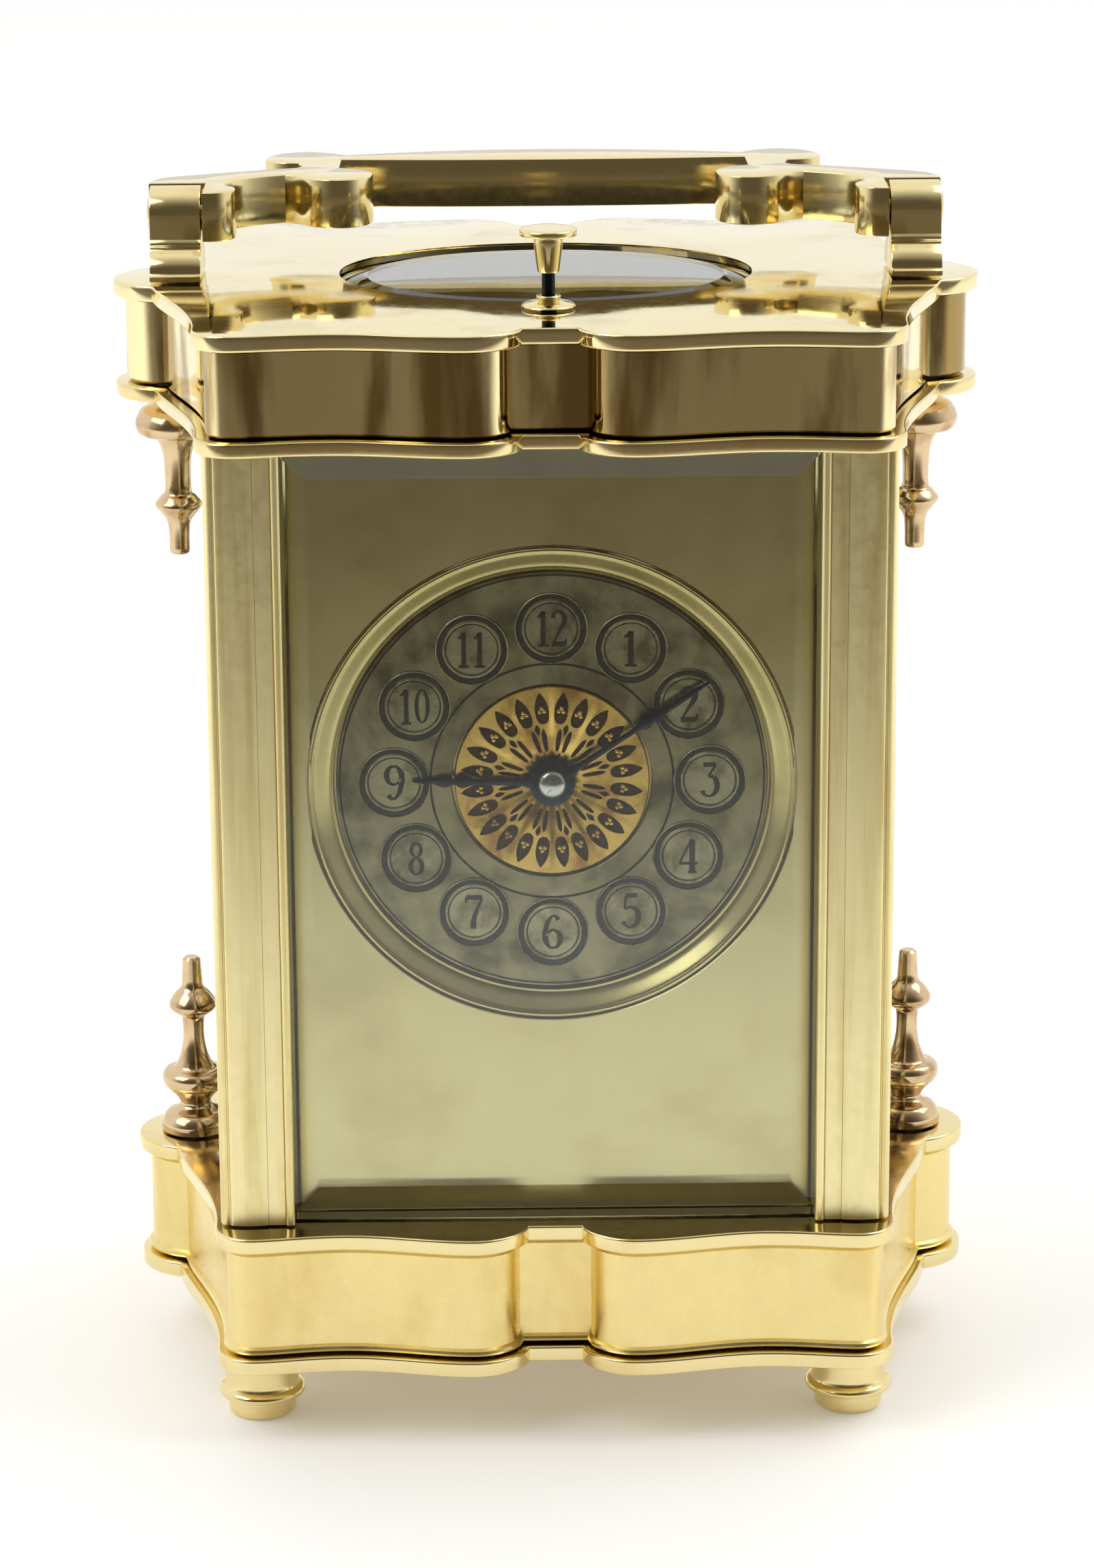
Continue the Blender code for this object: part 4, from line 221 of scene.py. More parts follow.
def plate_glass():
    """Bevelled plate glass: clear, faintly green at its edges, and it lets the lamps through to the dial."""
    material, tree = new_material("bevelled_plate_glass")
    place = add(tree, "ShaderNodeTexCoord").outputs["Object"]
    waves = add(tree, "ShaderNodeTexNoise", {"Vector": place, "Scale": 1 / (14 * MM), "Detail": 1.0})
    bump = add(tree, "ShaderNodeBump", {"Height": waves.outputs["Fac"], "Distance": 0.01 * MM})
    shader = add(tree, "ShaderNodeBsdfPrincipled", {
        "Base Color": linear("#f6fbf5"), "Roughness": 0.0, "Transmission Weight": 1.0, "IOR": 1.5,
        "Normal": bump.outputs["Normal"]})
    passed = add(tree, "ShaderNodeBsdfTransparent", {"Color": linear("#eef6ee")})
    path = add(tree, "ShaderNodeLightPath")
    both = add(tree, "ShaderNodeMixShader", {"Fac": path.outputs["Is Shadow Ray"]})
    tree.links.new(shader.outputs["BSDF"], both.inputs[1])
    tree.links.new(passed.outputs["BSDF"], both.inputs[2])
    add(tree, "ShaderNodeOutputMaterial", {"Surface": both.outputs["Shader"]})
    return material


WAX = wax_material()
GLASS = plate_glass()


# Shape helpers: each returns plain mesh data in place, so that every finished object sits at the origin

# Edges that turn by more than this many degrees stay sharp
SHARP_TURN = 32.0


def scaled(points):
    return [(x * MM, y * MM) for x, y in points]


def polar(radius, angle):
    return radius * math.cos(angle), radius * math.sin(angle)


def ellipse(across, up, points, x=0.0, y=0.0):
    """An anticlockwise outline with these half axes about a point."""
    return [(x + across * math.cos(math.tau * i / points), y + up * math.sin(math.tau * i / points))
            for i in range(points)]


def circle(radius, points, x=0.0, y=0.0):
    return ellipse(radius, radius, points, x, y)


def softened(points, corners=(), closed=False, steps=4):
    """A smooth line through the points that stays sharp at the numbered corners."""
    count = len(points)
    spans = range(count if closed else count - 1)
    line = []
    for i in spans:
        a, b = points[i], points[(i + 1) % count]
        before = a if i in corners or (not closed and i == 0) else points[i - 1]
        end = (i + 1) % count
        after = b if end in corners or (not closed and end == count - 1) else points[(i + 2) % count]
        for s in range(steps):
            t = s / steps
            line.append(tuple(
                0.5 * (2 * q + (r - p) * t + (2 * p - 5 * q + 4 * r - w) * t * t
                       + (3 * q - p - 3 * r + w) * t ** 3)
                for p, q, r, w in zip(before, a, b, after)))
    if not closed:
        line.append(tuple(points[-1]))
    return line


def sharp_turns(points, limit=48.0, closed=False):
    """The numbers of the points where a line turns by more than the limit, in degrees."""
    found = []
    count = len(points)
    for i in range(count if closed else count - 2):
        here = i if closed else i + 1
        before = Vector(points[here][:2]) - Vector(points[here - 1][:2])
        after = Vector(points[(here + 1) % count][:2]) - Vector(points[here][:2])
        if before.length and after.length and math.degrees(before.angle(after)) > limit:
            found.append(here)
    return found


def mesh_of(shape):
    """The shape as mesh data, after which the shape is gone."""
    mesh = bpy.data.meshes.new("part")
    shape.to_mesh(mesh)
    shape.free()
    return mesh


def new_object(name, data):
    made = bpy.data.objects.new(name, data)
    bpy.context.scene.collection.objects.link(made)
    return made


def evaluated_mesh(source):
    """A copy of an object's mesh with its modifiers applied."""
    return bpy.data.meshes.new_from_object(source.evaluated_get(bpy.context.evaluated_depsgraph_get()))


def discard(*objects):
    """Removes helper objects and their meshes."""
    for made in objects:
        data = made.data
        bpy.data.objects.remove(made)
        bpy.data.meshes.remove(data)


def keep(name, shape, material, body, replaces=(), sharp=SHARP_TURN):
    """Makes the mesh an object of the scene that moves with its body."""
    mesh = mesh_of(shape) if isinstance(shape, bmesh.types.BMesh) else shape
    mesh.name = name
    mesh.materials.clear()
    mesh.materials.append(material)
    mesh.shade_smooth()
    mesh.set_sharp_from_angle(angle=math.radians(sharp))
    piece = new_object(name, mesh)
    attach(piece, body)
    if replaces:
        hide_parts(*replaces)


def dress(name, shape, material, node, sharp=SHARP_TURN):
    """Puts a finished shape in the place of one node of the frame."""
    keep(name, shape, material, BODY_OF[node], [node], sharp)


def turned(profile, place=None, steps=TURNING_STEPS, ring=False):
    """A turned shape: a profile of (radius, height), top first, swept round its own Z."""
    shape = bmesh.new()
    loops = []
    for radius, height in profile:
        if radius <= 0.0:
            loops.append([shape.verts.new((0.0, 0.0, height))])
        else:
            loops.append([shape.verts.new((*polar(radius, math.tau * i / steps), height))
                          for i in range(steps)])
    pairs = list(zip(loops, loops[1:])) + ([(loops[-1], loops[0])] if ring else [])
    for upper, lower in pairs:
        for i in range(steps):
            j = (i + 1) % steps
            corners = (upper[i % len(upper)], lower[i % len(lower)],
                       lower[j % len(lower)], upper[j % len(upper)])
            unique = list(dict.fromkeys(corners))
            if len(unique) > 2:
                shape.faces.new(unique)
    bmesh.ops.recalc_face_normals(shape, faces=shape.faces)
    if place is not None:
        shape.transform(place)
    return shape


def inset(outline, distance):
    """The anticlockwise outline moved inwards, mitred at its corners."""
    moved = []
    count = len(outline)
    for i in range(count):
        before = Vector(outline[i]) - Vector(outline[i - 1])
        after = Vector(outline[(i + 1) % count]) - Vector(outline[i])
        before = Vector((-before.y, before.x)).normalized()
        after = Vector((-after.y, after.x)).normalized()
        shift = (before + after) * distance / (1.0 + before.dot(after))
        moved.append((outline[i][0] + shift.x, outline[i][1] + shift.y))
    return moved


def straight(low, high):
    """Levels of an upright wall."""
    return [(low, 0.0), (high, 0.0)]


def slab(outline, levels, holes=(), place=None):
    """A solid on an outline, whose levels are (height, inset), lowest first.

    A hole has its own outline and levels."""
    shape = bmesh.new()
    ends = ([], [])
    walls = [(outline, levels, 1.0)] + [(hole, hole_levels, -1.0) for hole, hole_levels in holes]
    for loop, steps, sign in walls:
        rings = []
        for height, distance in steps:
            rings.append([shape.verts.new((x, y, height)) for x, y in inset(loop, distance * sign)])
        for lower, upper in zip(rings, rings[1:]):
            for i in range(len(loop)):
                j = (i + 1) % len(loop)
                shape.faces.new((lower[i], lower[j], upper[j], upper[i]))
        for edge_list, ring in zip(ends, (rings[0], rings[-1])):
            edge_list.extend(shape.edges.get((ring[i - 1], ring[i])) for i in range(len(ring)))
    for edge_list in ends:
        bmesh.ops.triangle_fill(shape, use_beauty=True, edges=edge_list)
    bmesh.ops.recalc_face_normals(shape, faces=shape.faces)
    if place is not None:
        shape.transform(place)
    return shape


def rounded(low, high, radius, inner=0.0, steps=4):
    """Levels from low to high whose outer edges are rounded by the radius."""
    levels = []
    for i in range(steps + 1):
        turn = math.pi / 2 * i / steps
        levels.append((low + radius * (1 - math.cos(turn)), inner + radius * (1 - math.sin(turn))))
    for i in range(steps + 1):
        turn = math.pi / 2 * i / steps
        levels.append((high - radius * (1 - math.sin(turn)), inner + radius * (1 - math.cos(turn))))
    return levels


def joined(*shapes):
    """Several shapes as one mesh."""
    whole = bmesh.new()
    for shape in shapes:
        mesh = mesh_of(shape)
        whole.from_mesh(mesh)
        bpy.data.meshes.remove(mesh)
    return whole


def serpentine():
    """The whole edge of the case, anticlockwise from the tip of the right lobe."""
    centre = LOBE_HALF_SPAN - LOBE_RADIUS
    quarter = []
    for step in range(LOBE_POINTS + 1):
        x, y = polar(LOBE_RADIUS, LOBE_START * step / LOBE_POINTS)
        quarter.append((centre + x, y))
    for knots in reversed(SERPENTINE_SHARES):
        places = [Vector((x * LOBE_HALF_SPAN, y * CASE_HALF_DEPTH)) for x, y in reversed(knots)]
        curve = interpolate_bezier(*places, CURVE_POINTS)
        skip = 0 if knots is SERPENTINE_SHARES[-1] else 1
        quarter.extend((point.x, point.y) for point in curve[skip:])
    back = [(-x, y) for x, y in reversed(quarter)]
    front = [(-x, -y) for x, y in quarter[1:]]
    close = [(x, -y) for x, y in reversed(quarter[1:])]
    return quarter + back + front + close


def oval(ledge):
    return ellipse(OVAL_HALF_WIDTH - ledge, OVAL_HALF_DEPTH - ledge, OVAL_POINTS, 0.0, OVAL_Y)


def heights(node):
    low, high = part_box(node)
    return low[2], high[2]


FACING_FRONT = Matrix.Rotation(math.radians(90.0), 4, "X")
DIAL = Matrix.Translation((0.0, DIAL_SEAT_Y, DIAL_Z)) @ FACING_FRONT


def clockwise(outline, angle):
    """An outline turned clockwise, as seen from the front."""
    cosine, sine = math.cos(angle), math.sin(angle)
    return [(x * cosine + y * sine, y * cosine - x * sine) for x, y in outline]


def bored(shape, cutters):
    """The shape with the cutters taken out of it."""
    whole, *tools = [new_object("bored", mesh_of(made)) for made in [shape] + cutters]
    for tool in tools:
        change = whole.modifiers.new("bore", "BOOLEAN")
        change.operation = "DIFFERENCE"
        change.solver = "EXACT"
        change.object = tool
    mesh = evaluated_mesh(whole)
    discard(whole, *tools)
    return mesh


def ring_tree():
    """Geometry nodes that stand copies of the incoming shape on a circle, upright or turned with it."""
    tree = bpy.data.node_groups.new("ring_of_copies", "GeometryNodeTree")
    for name, kind in (("Geometry", "Geometry"), ("Count", "Int"), ("Radius", "Float"), ("Turned", "Float"),
                       ("Finish", "Material")):
        tree.interface.new_socket(name, in_out="INPUT", socket_type="NodeSocket" + kind)
    tree.interface.new_socket("Geometry", in_out="OUTPUT", socket_type="NodeSocketGeometry")
    given = add(tree, "NodeGroupInput").outputs
    ring = add(tree, "GeometryNodeMeshCircle", {"Vertices": given["Count"], "Radius": given["Radius"]})
    step = maths(tree, "DIVIDE", math.tau, given["Count"])
    index = add(tree, "GeometryNodeInputIndex").outputs["Index"]
    share = maths(tree, "MULTIPLY", maths(tree, "MULTIPLY", index, step), given["Turned"])
    turn = add(tree, "ShaderNodeCombineXYZ", {"Z": share})
    copies = add(tree, "GeometryNodeInstanceOnPoints", {
        "Points": ring.outputs["Mesh"], "Instance": given["Geometry"], "Rotation": turn.outputs["Vector"]})
    real = add(tree, "GeometryNodeRealizeInstances", {"Geometry": copies.outputs["Instances"]})
    done = add(tree, "GeometryNodeSetMaterial", {"Geometry": real.outputs["Geometry"],
                                                 "Material": given["Finish"]})
    add(tree, "NodeGroupOutput", {"Geometry": done.outputs["Geometry"]})
    return tree


RING_OF_COPIES = ring_tree()


def ring_of(shape, count, radius, turned_share, finish, place):
    """Copies of a shape on a circle about the dial's axis, as one mesh in its place."""
    one = new_object("one", mesh_of(shape))
    change = one.modifiers.new("ring", "NODES")
    change.node_group = RING_OF_COPIES
    values = {"Count": count, "Radius": radius, "Turned": turned_share, "Finish": finish}
    for item in RING_OF_COPIES.interface.items_tree:
        if item.in_out == "INPUT" and item.name in values:
            change[item.identifier] = values[item.name]
    made = evaluated_mesh(one)
    made.transform(place)
    discard(one)
    return made


# Case: base, cornice and top plate on the serpentine edge

EDGE = serpentine()
RIM_ROUND = 0.30 * MM
RIM_CLEARANCE = 0.01 * MM
# Foot and head of the base's frieze, in mm: (height from that end, how far inside the frieze's face)
FRIEZE_FOOT = ((0.0, -0.15), (0.15, -0.45), (0.45, -0.6), (0.75, -0.45), (0.95, -0.1), (1.0, 0.0))
FRIEZE_HEAD = ((0.5, 0.0), (0.3, 0.25), (0.0, 0.3))
FRIEZE_EASE = 0.3 * MM
OPENING_CHAMFER = 0.35 * MM
LINING_FOOT = 0.3 * MM
LINING_HEAD = 0.4 * MM
LINING_OUTSIDE = OVAL_LEDGE + 0.1 * MM
LINING_INSIDE = OVAL_LEDGE + 0.35 * MM
OVAL_GLASS_EDGE = 0.9 * MM
OVAL_GLASS_SHOULDER = (0.05 * MM, 3.3 * MM)
OVAL_GLASS_BEVEL = 3.5 * MM
FACET_TURN = 6.0


def make_case():
    def on_edge(node, suffix, levels, material, holes=()):
        dress(node + suffix, slab(EDGE, levels, holes), material, node)

    def rim(node):
        return rounded(*heights(node), RIM_ROUND, RIM_CLEARANCE)

    def openings(node):
        through = straight(*heights(node))
        return [(oval(OVAL_LEDGE), through), (bore, through)]

    bore = circle(BUTTON_BORE, BUTTON_STEPS, 0.0, BUTTON_Y)
    for node in ("base_lower_moulding", "base_upper_moulding"):
        on_edge(node, "_rounded", rim(node), POLISHED_BRASS)
    low, high = heights("base_frieze")
    levels = [(low + up * MM, FRIEZE_INSET + inwards * MM) for up, inwards in FRIEZE_FOOT]
    levels += [(high - down * MM, FRIEZE_INSET + inwards * MM) for down, inwards in FRIEZE_HEAD]
    on_edge("base_frieze", "_moulded", levels, FRIEZE_BRASS)
    node = "cornice_lower_moulding"
    on_edge(node, "_rounded", rim(node), POLISHED_BRASS, openings(node))
    low, high = heights("cornice_frieze")
    levels = [(low, FRIEZE_INSET + FRIEZE_EASE), (low + FRIEZE_EASE, FRIEZE_INSET), (high, FRIEZE_INSET)]
    on_edge("cornice_frieze", "_mirror", levels, PAINTED_REFLECTION_BRASS, openings("cornice_frieze"))
    low, high = heights("top_plate")
    chamfer = [(low, 0.0), (high - OPENING_CHAMFER, 0.0), (high, -OPENING_CHAMFER)]
    on_edge("top_plate", "_mirror", rim("top_plate"), MIRROR_BRASS,
            [(oval(0.0), chamfer), (bore, straight(low, high))])
    # A dark brown lining inside the oval opening: painted shade of the clock's dim interior under the top
    # glass.
    through = straight(heights("cornice_lower_moulding")[0] + LINING_FOOT, low - LINING_HEAD)
    keep("oval_opening_lining", slab(oval(LINING_OUTSIDE), through, [(oval(LINING_INSIDE), through)]),
         DARK_BRASS_PAINTED_SHADE, "case")
    low, high = heights("glass_top")
    shoulder_drop, shoulder_inset = OVAL_GLASS_SHOULDER
    edge = [(low, 0.0), (low + OVAL_GLASS_EDGE, 0.0), (high - shoulder_drop, shoulder_inset),
            (high, OVAL_GLASS_BEVEL)]
    dress("oval_glass", slab(oval(SEAT_GAP), edge), GLASS, "glass_top", FACET_TURN)


make_case()


# Pillars: a drawn moulding with a bead by the glass, a step, a broad face and a ridge at its corner

PILLAR_INNER_X = 32.2 * MM
PILLAR_OUTER_Y = 36.0 * MM
PILLAR_SIZE = 9.2 * MM
GLASS_SETBACK = 2.2 * MM
GLASS_THICKNESS = 2.6 * MM
GROOVE_DEPTH = 1.2 * MM
PILLAR_EDGE = 0.3 * MM
DRAWN_TURN = 28.0
FACE_POINTS = (
    (0.00, 0.60), (0.02, 0.25), (0.30, 0.03), (0.60, 0.00), (0.90, 0.08), (1.10, 0.35), (1.14, 0.50),
    (1.25, 0.50), (1.28, 0.36), (1.36, 0.30), (3.05, 0.30), (3.12, 0.36), (3.15, 0.62), (3.30, 0.62),
    (3.34, 0.30), (3.42, 0.22), (5.40, 0.00), (7.40, 0.18), (7.85, 0.36), (7.95, 0.62), (8.12, 0.66),
    (8.18, 0.45), (8.45, 0.42), (8.80, 0.62), (9.05, 0.98), (9.20, 1.50),
)
FACE_CORNERS = (6, 7, 8, 11, 12, 13, 14, 19, 20, 21)


def pillar_section(side, depth):
    """A pillar's outline: its moulded face, then its back with a groove for each glass that it holds."""
    face = [(u * MM, v * MM) for u, v in softened(FACE_POINTS, FACE_CORNERS, steps=3)]
    groove_near = PILLAR_SIZE - GLASS_SETBACK - GLASS_THICKNESS - SEAT_GAP
    groove_far = PILLAR_SIZE - GLASS_SETBACK + SEAT_GAP
    groove_floor = PILLAR_SIZE - GROOVE_DEPTH
    rest = [(PILLAR_SIZE, PILLAR_SIZE - PILLAR_EDGE), (PILLAR_SIZE - PILLAR_EDGE, PILLAR_SIZE),
            (groove_far, PILLAR_SIZE), (groove_far, groove_floor), (groove_near, groove_floor),
            (groove_near, PILLAR_SIZE), (0.0, PILLAR_SIZE)]
    if depth < 0:
        inside, outside = GLASS_SETBACK + GLASS_THICKNESS + SEAT_GAP, GLASS_SETBACK - SEAT_GAP
        rest += [(0.0, inside), (GROOVE_DEPTH, inside), (GROOVE_DEPTH, outside), (0.0, outside)]
    section = [(side * (PILLAR_INNER_X + u), depth * (PILLAR_OUTER_Y - v)) for u, v in face + rest]
    return section if side * depth > 0 else section[::-1]


def make_pillars():
    for name, side, depth in CORNERS:
        node = "pillar_" + name
        shape = slab(pillar_section(side, depth)[::-1], straight(*heights(node)))
        dress(node + "_moulded", shape, DRAWN_BRASS, node, DRAWN_TURN)


make_pillars()


# Turned pieces: finials, feet, button and its collar, door knob

FINIAL_X = 46.45 * MM
FOOT_PLACE = (37.1 * MM, 28.5 * MM)
STANDING_PROFILE = (
    (0.0, 23.3), (0.85, 23.3), (1.15, 23.0), (1.36, 19.6), (1.58, 19.1), (2.35, 18.3), (3.02, 17.2),
    (2.9, 16.4), (2.0, 15.6), (1.45, 15.0), (1.36, 12.6), (1.75, 10.2), (2.45, 8.5), (2.7, 8.3),
    (3.7, 8.05), (4.18, 7.2), (3.9, 6.0), (3.0, 5.0), (2.3, 4.2), (1.98, 3.5), (2.4, 2.85), (3.6, 2.3),
    (4.3, 1.3), (4.4, 0.6), (4.4, 0.0), (0.0, 0.0),
)
HANGING_PROFILE = (
    (0.0, 20.6), (1.9, 20.6), (1.9, 19.8), (2.5, 19.6), (4.3, 18.9), (5.15, 17.2), (4.9, 16.1),
    (4.4, 15.6), (3.3, 15.35), (2.75, 15.2), (2.1, 14.0), (1.7, 12.1), (1.66, 8.4), (2.2, 7.65),
    (2.95, 6.6), (2.4, 5.65), (1.6, 4.6), (1.32, 3.3), (1.25, 0.5), (1.0, 0.2), (0.0, 0.2),
)
FOOT_PROFILE = (
    (0.0, 9.0), (4.75, 9.0), (4.70, 8.2), (4.58, 6.2), (4.6, 4.6), (4.75, 3.9), (5.25, 3.65),
    (5.5, 3.15), (5.3, 2.65), (4.6, 2.5), (4.3, 2.3), (4.25, 0.6), (3.9, 0.15), (3.6, 0.0), (0.0, 0.0),
)
BUTTON_PROFILE = (
    (0.0, 149.7), (2.9, 149.7), (3.35, 149.55), (3.45, 149.2), (3.3, 148.8), (2.2, 148.65), (1.75, 148.5),
    (1.78, 148.0), (1.55, 146.2), (1.3, 144.6), (1.2, 144.4), (0.0, 144.4),
)
ROD_PROFILE = ((0.0, 144.35), (0.8, 144.35), (0.8, 123.9), (0.7, 123.8), (0.0, 123.8))
COLLAR_PROFILE = (
    (1.1, 141.6), (1.4, 141.6), (1.5, 141.45), (1.42, 141.2), (1.35, 141.05), (1.8, 140.85), (2.6, 140.7),
    (3.1, 140.5), (3.25, 140.3), (1.1, 140.3),
)


def turned_at(node, points, corners, material, place):
    """Turns a profile given in mm and puts it where its node stands."""
    profile = [(max(r, 0.0) * MM, z * MM) for r, z in softened(points, corners)]
    dress(node + "_turned", turned(profile, place), material, node)


def make_turned_pieces():
    for name, side in SIDES:
        for way, profile, corners in (("standing", STANDING_PROFILE, (0, 1, 2, 3, 12, 13, 24, 25)),
                                      ("hanging", HANGING_PROFILE, (0, 1, 2, 3, 8, 9, 18, 20))):
            node = f"finial_{way}_{name}"
            at = Matrix.Translation((side * FINIAL_X, 0.0, heights(node)[0]))
            turned_at(node, profile, corners, ROSE_BRASS, at)
    for name, side, depth in CORNERS:
        at = Matrix.Translation((side * FOOT_PLACE[0], depth * FOOT_PLACE[1], 0.0))
        turned_at("foot_" + name, FOOT_PROFILE, (0, 1, 5, 8, 9, 10, 13, 14), POLISHED_BRASS, at)
    at = Matrix.Translation((0.0, BUTTON_Y, 0.0))
    turned_at("repeat_button", BUTTON_PROFILE, (0, 1, 5, 10, 11), POLISHED_BRASS, at)
    keep("repeat_button_rod", turned(scaled(ROD_PROFILE), at, BUTTON_STEPS), BLUED_STEEL, "button_body")
    turned_at("button_collar", COLLAR_PROFILE, (0, 1, 4, 8, 9), POLISHED_BRASS, at)


make_turned_pieces()


# Handle with its brackets and shoulder screws

PIVOT_Z = 148.0 * MM
HANDLE_HALF_WIDTH = 49.3
HANDLE_REACH = 29.4
HANDLE_INNER = (
    (0.000, 0.701), (0.262, 0.709), (0.523, 0.735), (0.525, 0.507), (0.473, 0.456), (0.442, 0.388),
    (0.438, 0.313), (0.455, 0.231), (0.488, 0.180), (0.535, 0.167), (0.592, 0.211), (0.627, 0.279),
    (0.661, 0.320), (0.710, 0.282), (0.759, 0.228), (0.793, 0.163), (0.805, 0.090), (0.783, 0.020),
    (0.777, -0.040), (0.788, -0.095), (0.811, -0.135), (0.840, -0.150),
)
HANDLE_OUTER = (
    (1.000, 0.170), (0.978, 0.259), (0.933, 0.313), (0.872, 0.361), (0.811, 0.408), (0.751, 0.449),
    (0.686, 0.490), (0.641, 0.515), (0.625, 0.571), (0.633, 0.643), (0.673, 0.656), (0.708, 0.697),
    (0.722, 0.765), (0.714, 0.837), (0.682, 0.925), (0.613, 0.966), (0.558, 0.929), (0.513, 0.867),
    (0.365, 0.929), (0.195, 0.980), (0.000, 1.000),
)
HANDLE_EDGE = 0.22 * MM
BRACKET_INNER_X = 42.6
BRACKET_WIDTH = 6.3
BRACKET_HEAD = 3.3
BRACKET_SIDE = ((5.8, -7.7), (5.8, -7.1), (5.4, -6.8), (5.2, -5.9), (4.5, -4.9), (3.6, -4.2), (3.45, -3.85),
                (3.6, -3.4), (3.3, -2.9), (3.3, 0.0))
BRACKET_EDGE = 0.15 * MM
HEAD_STEPS = 24
HANDLE_GAP = 0.3
SOCKET_FLOOR = 38.0
SOCKET_DEPTH = 4.8 * MM
SCREW_BORE = 1.3
BORE_STEPS = 40
SCREW_SEAT = BRACKET_INNER_X + BRACKET_WIDTH + 0.05
SCREW_PROFILE = (
    (0.0, SCREW_SEAT + 0.42), (1.2, SCREW_SEAT + 0.38), (1.9, SCREW_SEAT + 0.24), (2.2, SCREW_SEAT + 0.06),
    (2.2, SCREW_SEAT), (1.0, SCREW_SEAT), (1.0, 38.9), (0.7, 38.6), (0.0, 38.6),
)
SCREW_SLOT = (SCREW_SEAT + 0.5, 0.6, 0.45)
SLOT_LENGTH = 6 * MM
SLOT_DEPTH = 0.6 * MM


def handle_half():
    """The right half of the handle, lying back, in mm: inner edge, notch by the bracket, outer edge."""
    lines = []
    for table in (HANDLE_INNER, HANDLE_OUTER):
        points = [(x * HANDLE_HALF_WIDTH, y * HANDLE_REACH) for x, y in table]
        lines.append(softened(points, sharp_turns(points), steps=4))
    arm_end = BRACKET_INNER_X - HANDLE_GAP
    head = BRACKET_HEAD + HANDLE_GAP
    return lines[0] + [(arm_end, lines[0][-1][1]), (arm_end, head), (HANDLE_HALF_WIDTH, head)] + lines[1]


def along_x(shape, x, z, side=1):
    """Turns a shape's own Z to run outwards along X, and moves it to a height."""
    turn = Matrix.Rotation(math.radians(90.0 * side), 4, "Y")
    shape.transform(Matrix.Translation((x * MM, 0.0, z)) @ turn)
    return shape


def slotted(shape, height, angle, width):
    """A screw's head, pointing up its own Z, with a slot cut at a height and of a width given in mm."""
    slot = bmesh.new()
    bmesh.ops.create_cube(slot, size=1.0, matrix=Matrix.Translation((0.0, 0.0, height * MM))
                          @ Matrix.Rotation(angle, 4, "Z")
                          @ Matrix.Diagonal((SLOT_LENGTH, width * MM, SLOT_DEPTH, 1.0)))
    return bored(shape, [slot])


def make_handle():
    half = handle_half()
    outline = scaled(half + [(-x, y) for x, y in reversed(half[1:-1])])
    shape = slab(outline, rounded(*heights("handle"), HANDLE_EDGE, steps=2))
    radius = SCREW_BORE * MM
    socket = [(0.0, SOCKET_DEPTH), (radius, SOCKET_DEPTH), (radius, 0.0), (0.0, 0.0)]
    sockets = [along_x(turned(socket, steps=BORE_STEPS), side * SOCKET_FLOOR, PIVOT_Z, side)
               for _, side in SIDES]
    dress("handle_polished", bored(shape, sockets), POLISHED_BRASS, "handle")
    foot = softened(BRACKET_SIDE, (1, 8, 9), steps=3)
    head = [polar(BRACKET_HEAD, math.pi * i / HEAD_STEPS) for i in range(1, HEAD_STEPS)]
    side_on = [(-z, y) for y, z in foot + head + [(-y, z) for y, z in reversed(foot)]]
    width = BRACKET_WIDTH * MM
    for name, side in SIDES:
        start = BRACKET_INNER_X if side > 0 else -(BRACKET_INNER_X + BRACKET_WIDTH)
        bracket = slab(scaled(side_on), rounded(0.0, width, BRACKET_EDGE, steps=2),
                       [(circle(radius, BORE_STEPS), straight(0.0, width))])
        node = "handle_bracket_" + name
        dress(node + "_cast", along_x(bracket, start, PIVOT_Z), POLISHED_BRASS, node)
        screw = slotted(turned(scaled(SCREW_PROFILE), steps=BORE_STEPS), *SCREW_SLOT)
        node = "handle_screw_" + name
        dress(node + "_slotted", along_x(screw, 0.0, PIVOT_Z, side), POLISHED_BRASS, node)


make_handle()


# Dial: mask, bezel, chapter ring with its twelve cartouches, and the gilt pierced centre

BEZEL_RADIUS = 29.65
BEZEL_PROFILE = (
    (29.65, 0.0), (26.6, 0.0), (26.6, 1.15), (26.68, 1.28), (26.84, 1.28), (26.90, 1.02), (27.06, 1.02),
    (27.12, 1.42), (27.5, 1.62), (28.2, 2.14), (28.85, 2.62), (29.06, 2.70), (29.10, 2.92), (29.3, 3.0),
    (29.52, 2.95), (29.65, 2.75),
)
CHAPTER_PROFILE = (
    (26.3, 0.0), (12.2, 0.0), (12.2, 0.8), (12.3, 0.9), (14.66, 0.9), (14.70, 0.74), (14.92, 0.74),
    (14.96, 0.9), (25.75, 0.9), (25.80, 0.78), (25.95, 0.78), (26.0, 0.9), (26.2, 0.88), (26.3, 0.75),
    (26.3, 0.0),
)
CARTOUCHE_PROFILE = (
    (0.0, 0.97), (3.06, 0.97), (3.08, 0.935), (3.22, 0.935), (3.25, 0.99), (3.32, 1.06), (3.42, 1.08),
    (3.52, 1.06), (3.60, 0.98), (3.64, 0.925), (4.24, 0.925), (4.26, 0.99), (4.30, 1.07), (4.36, 1.10),
    (4.42, 1.06), (4.46, 0.97), (4.46, 0.9), (0.0, 0.9),
)
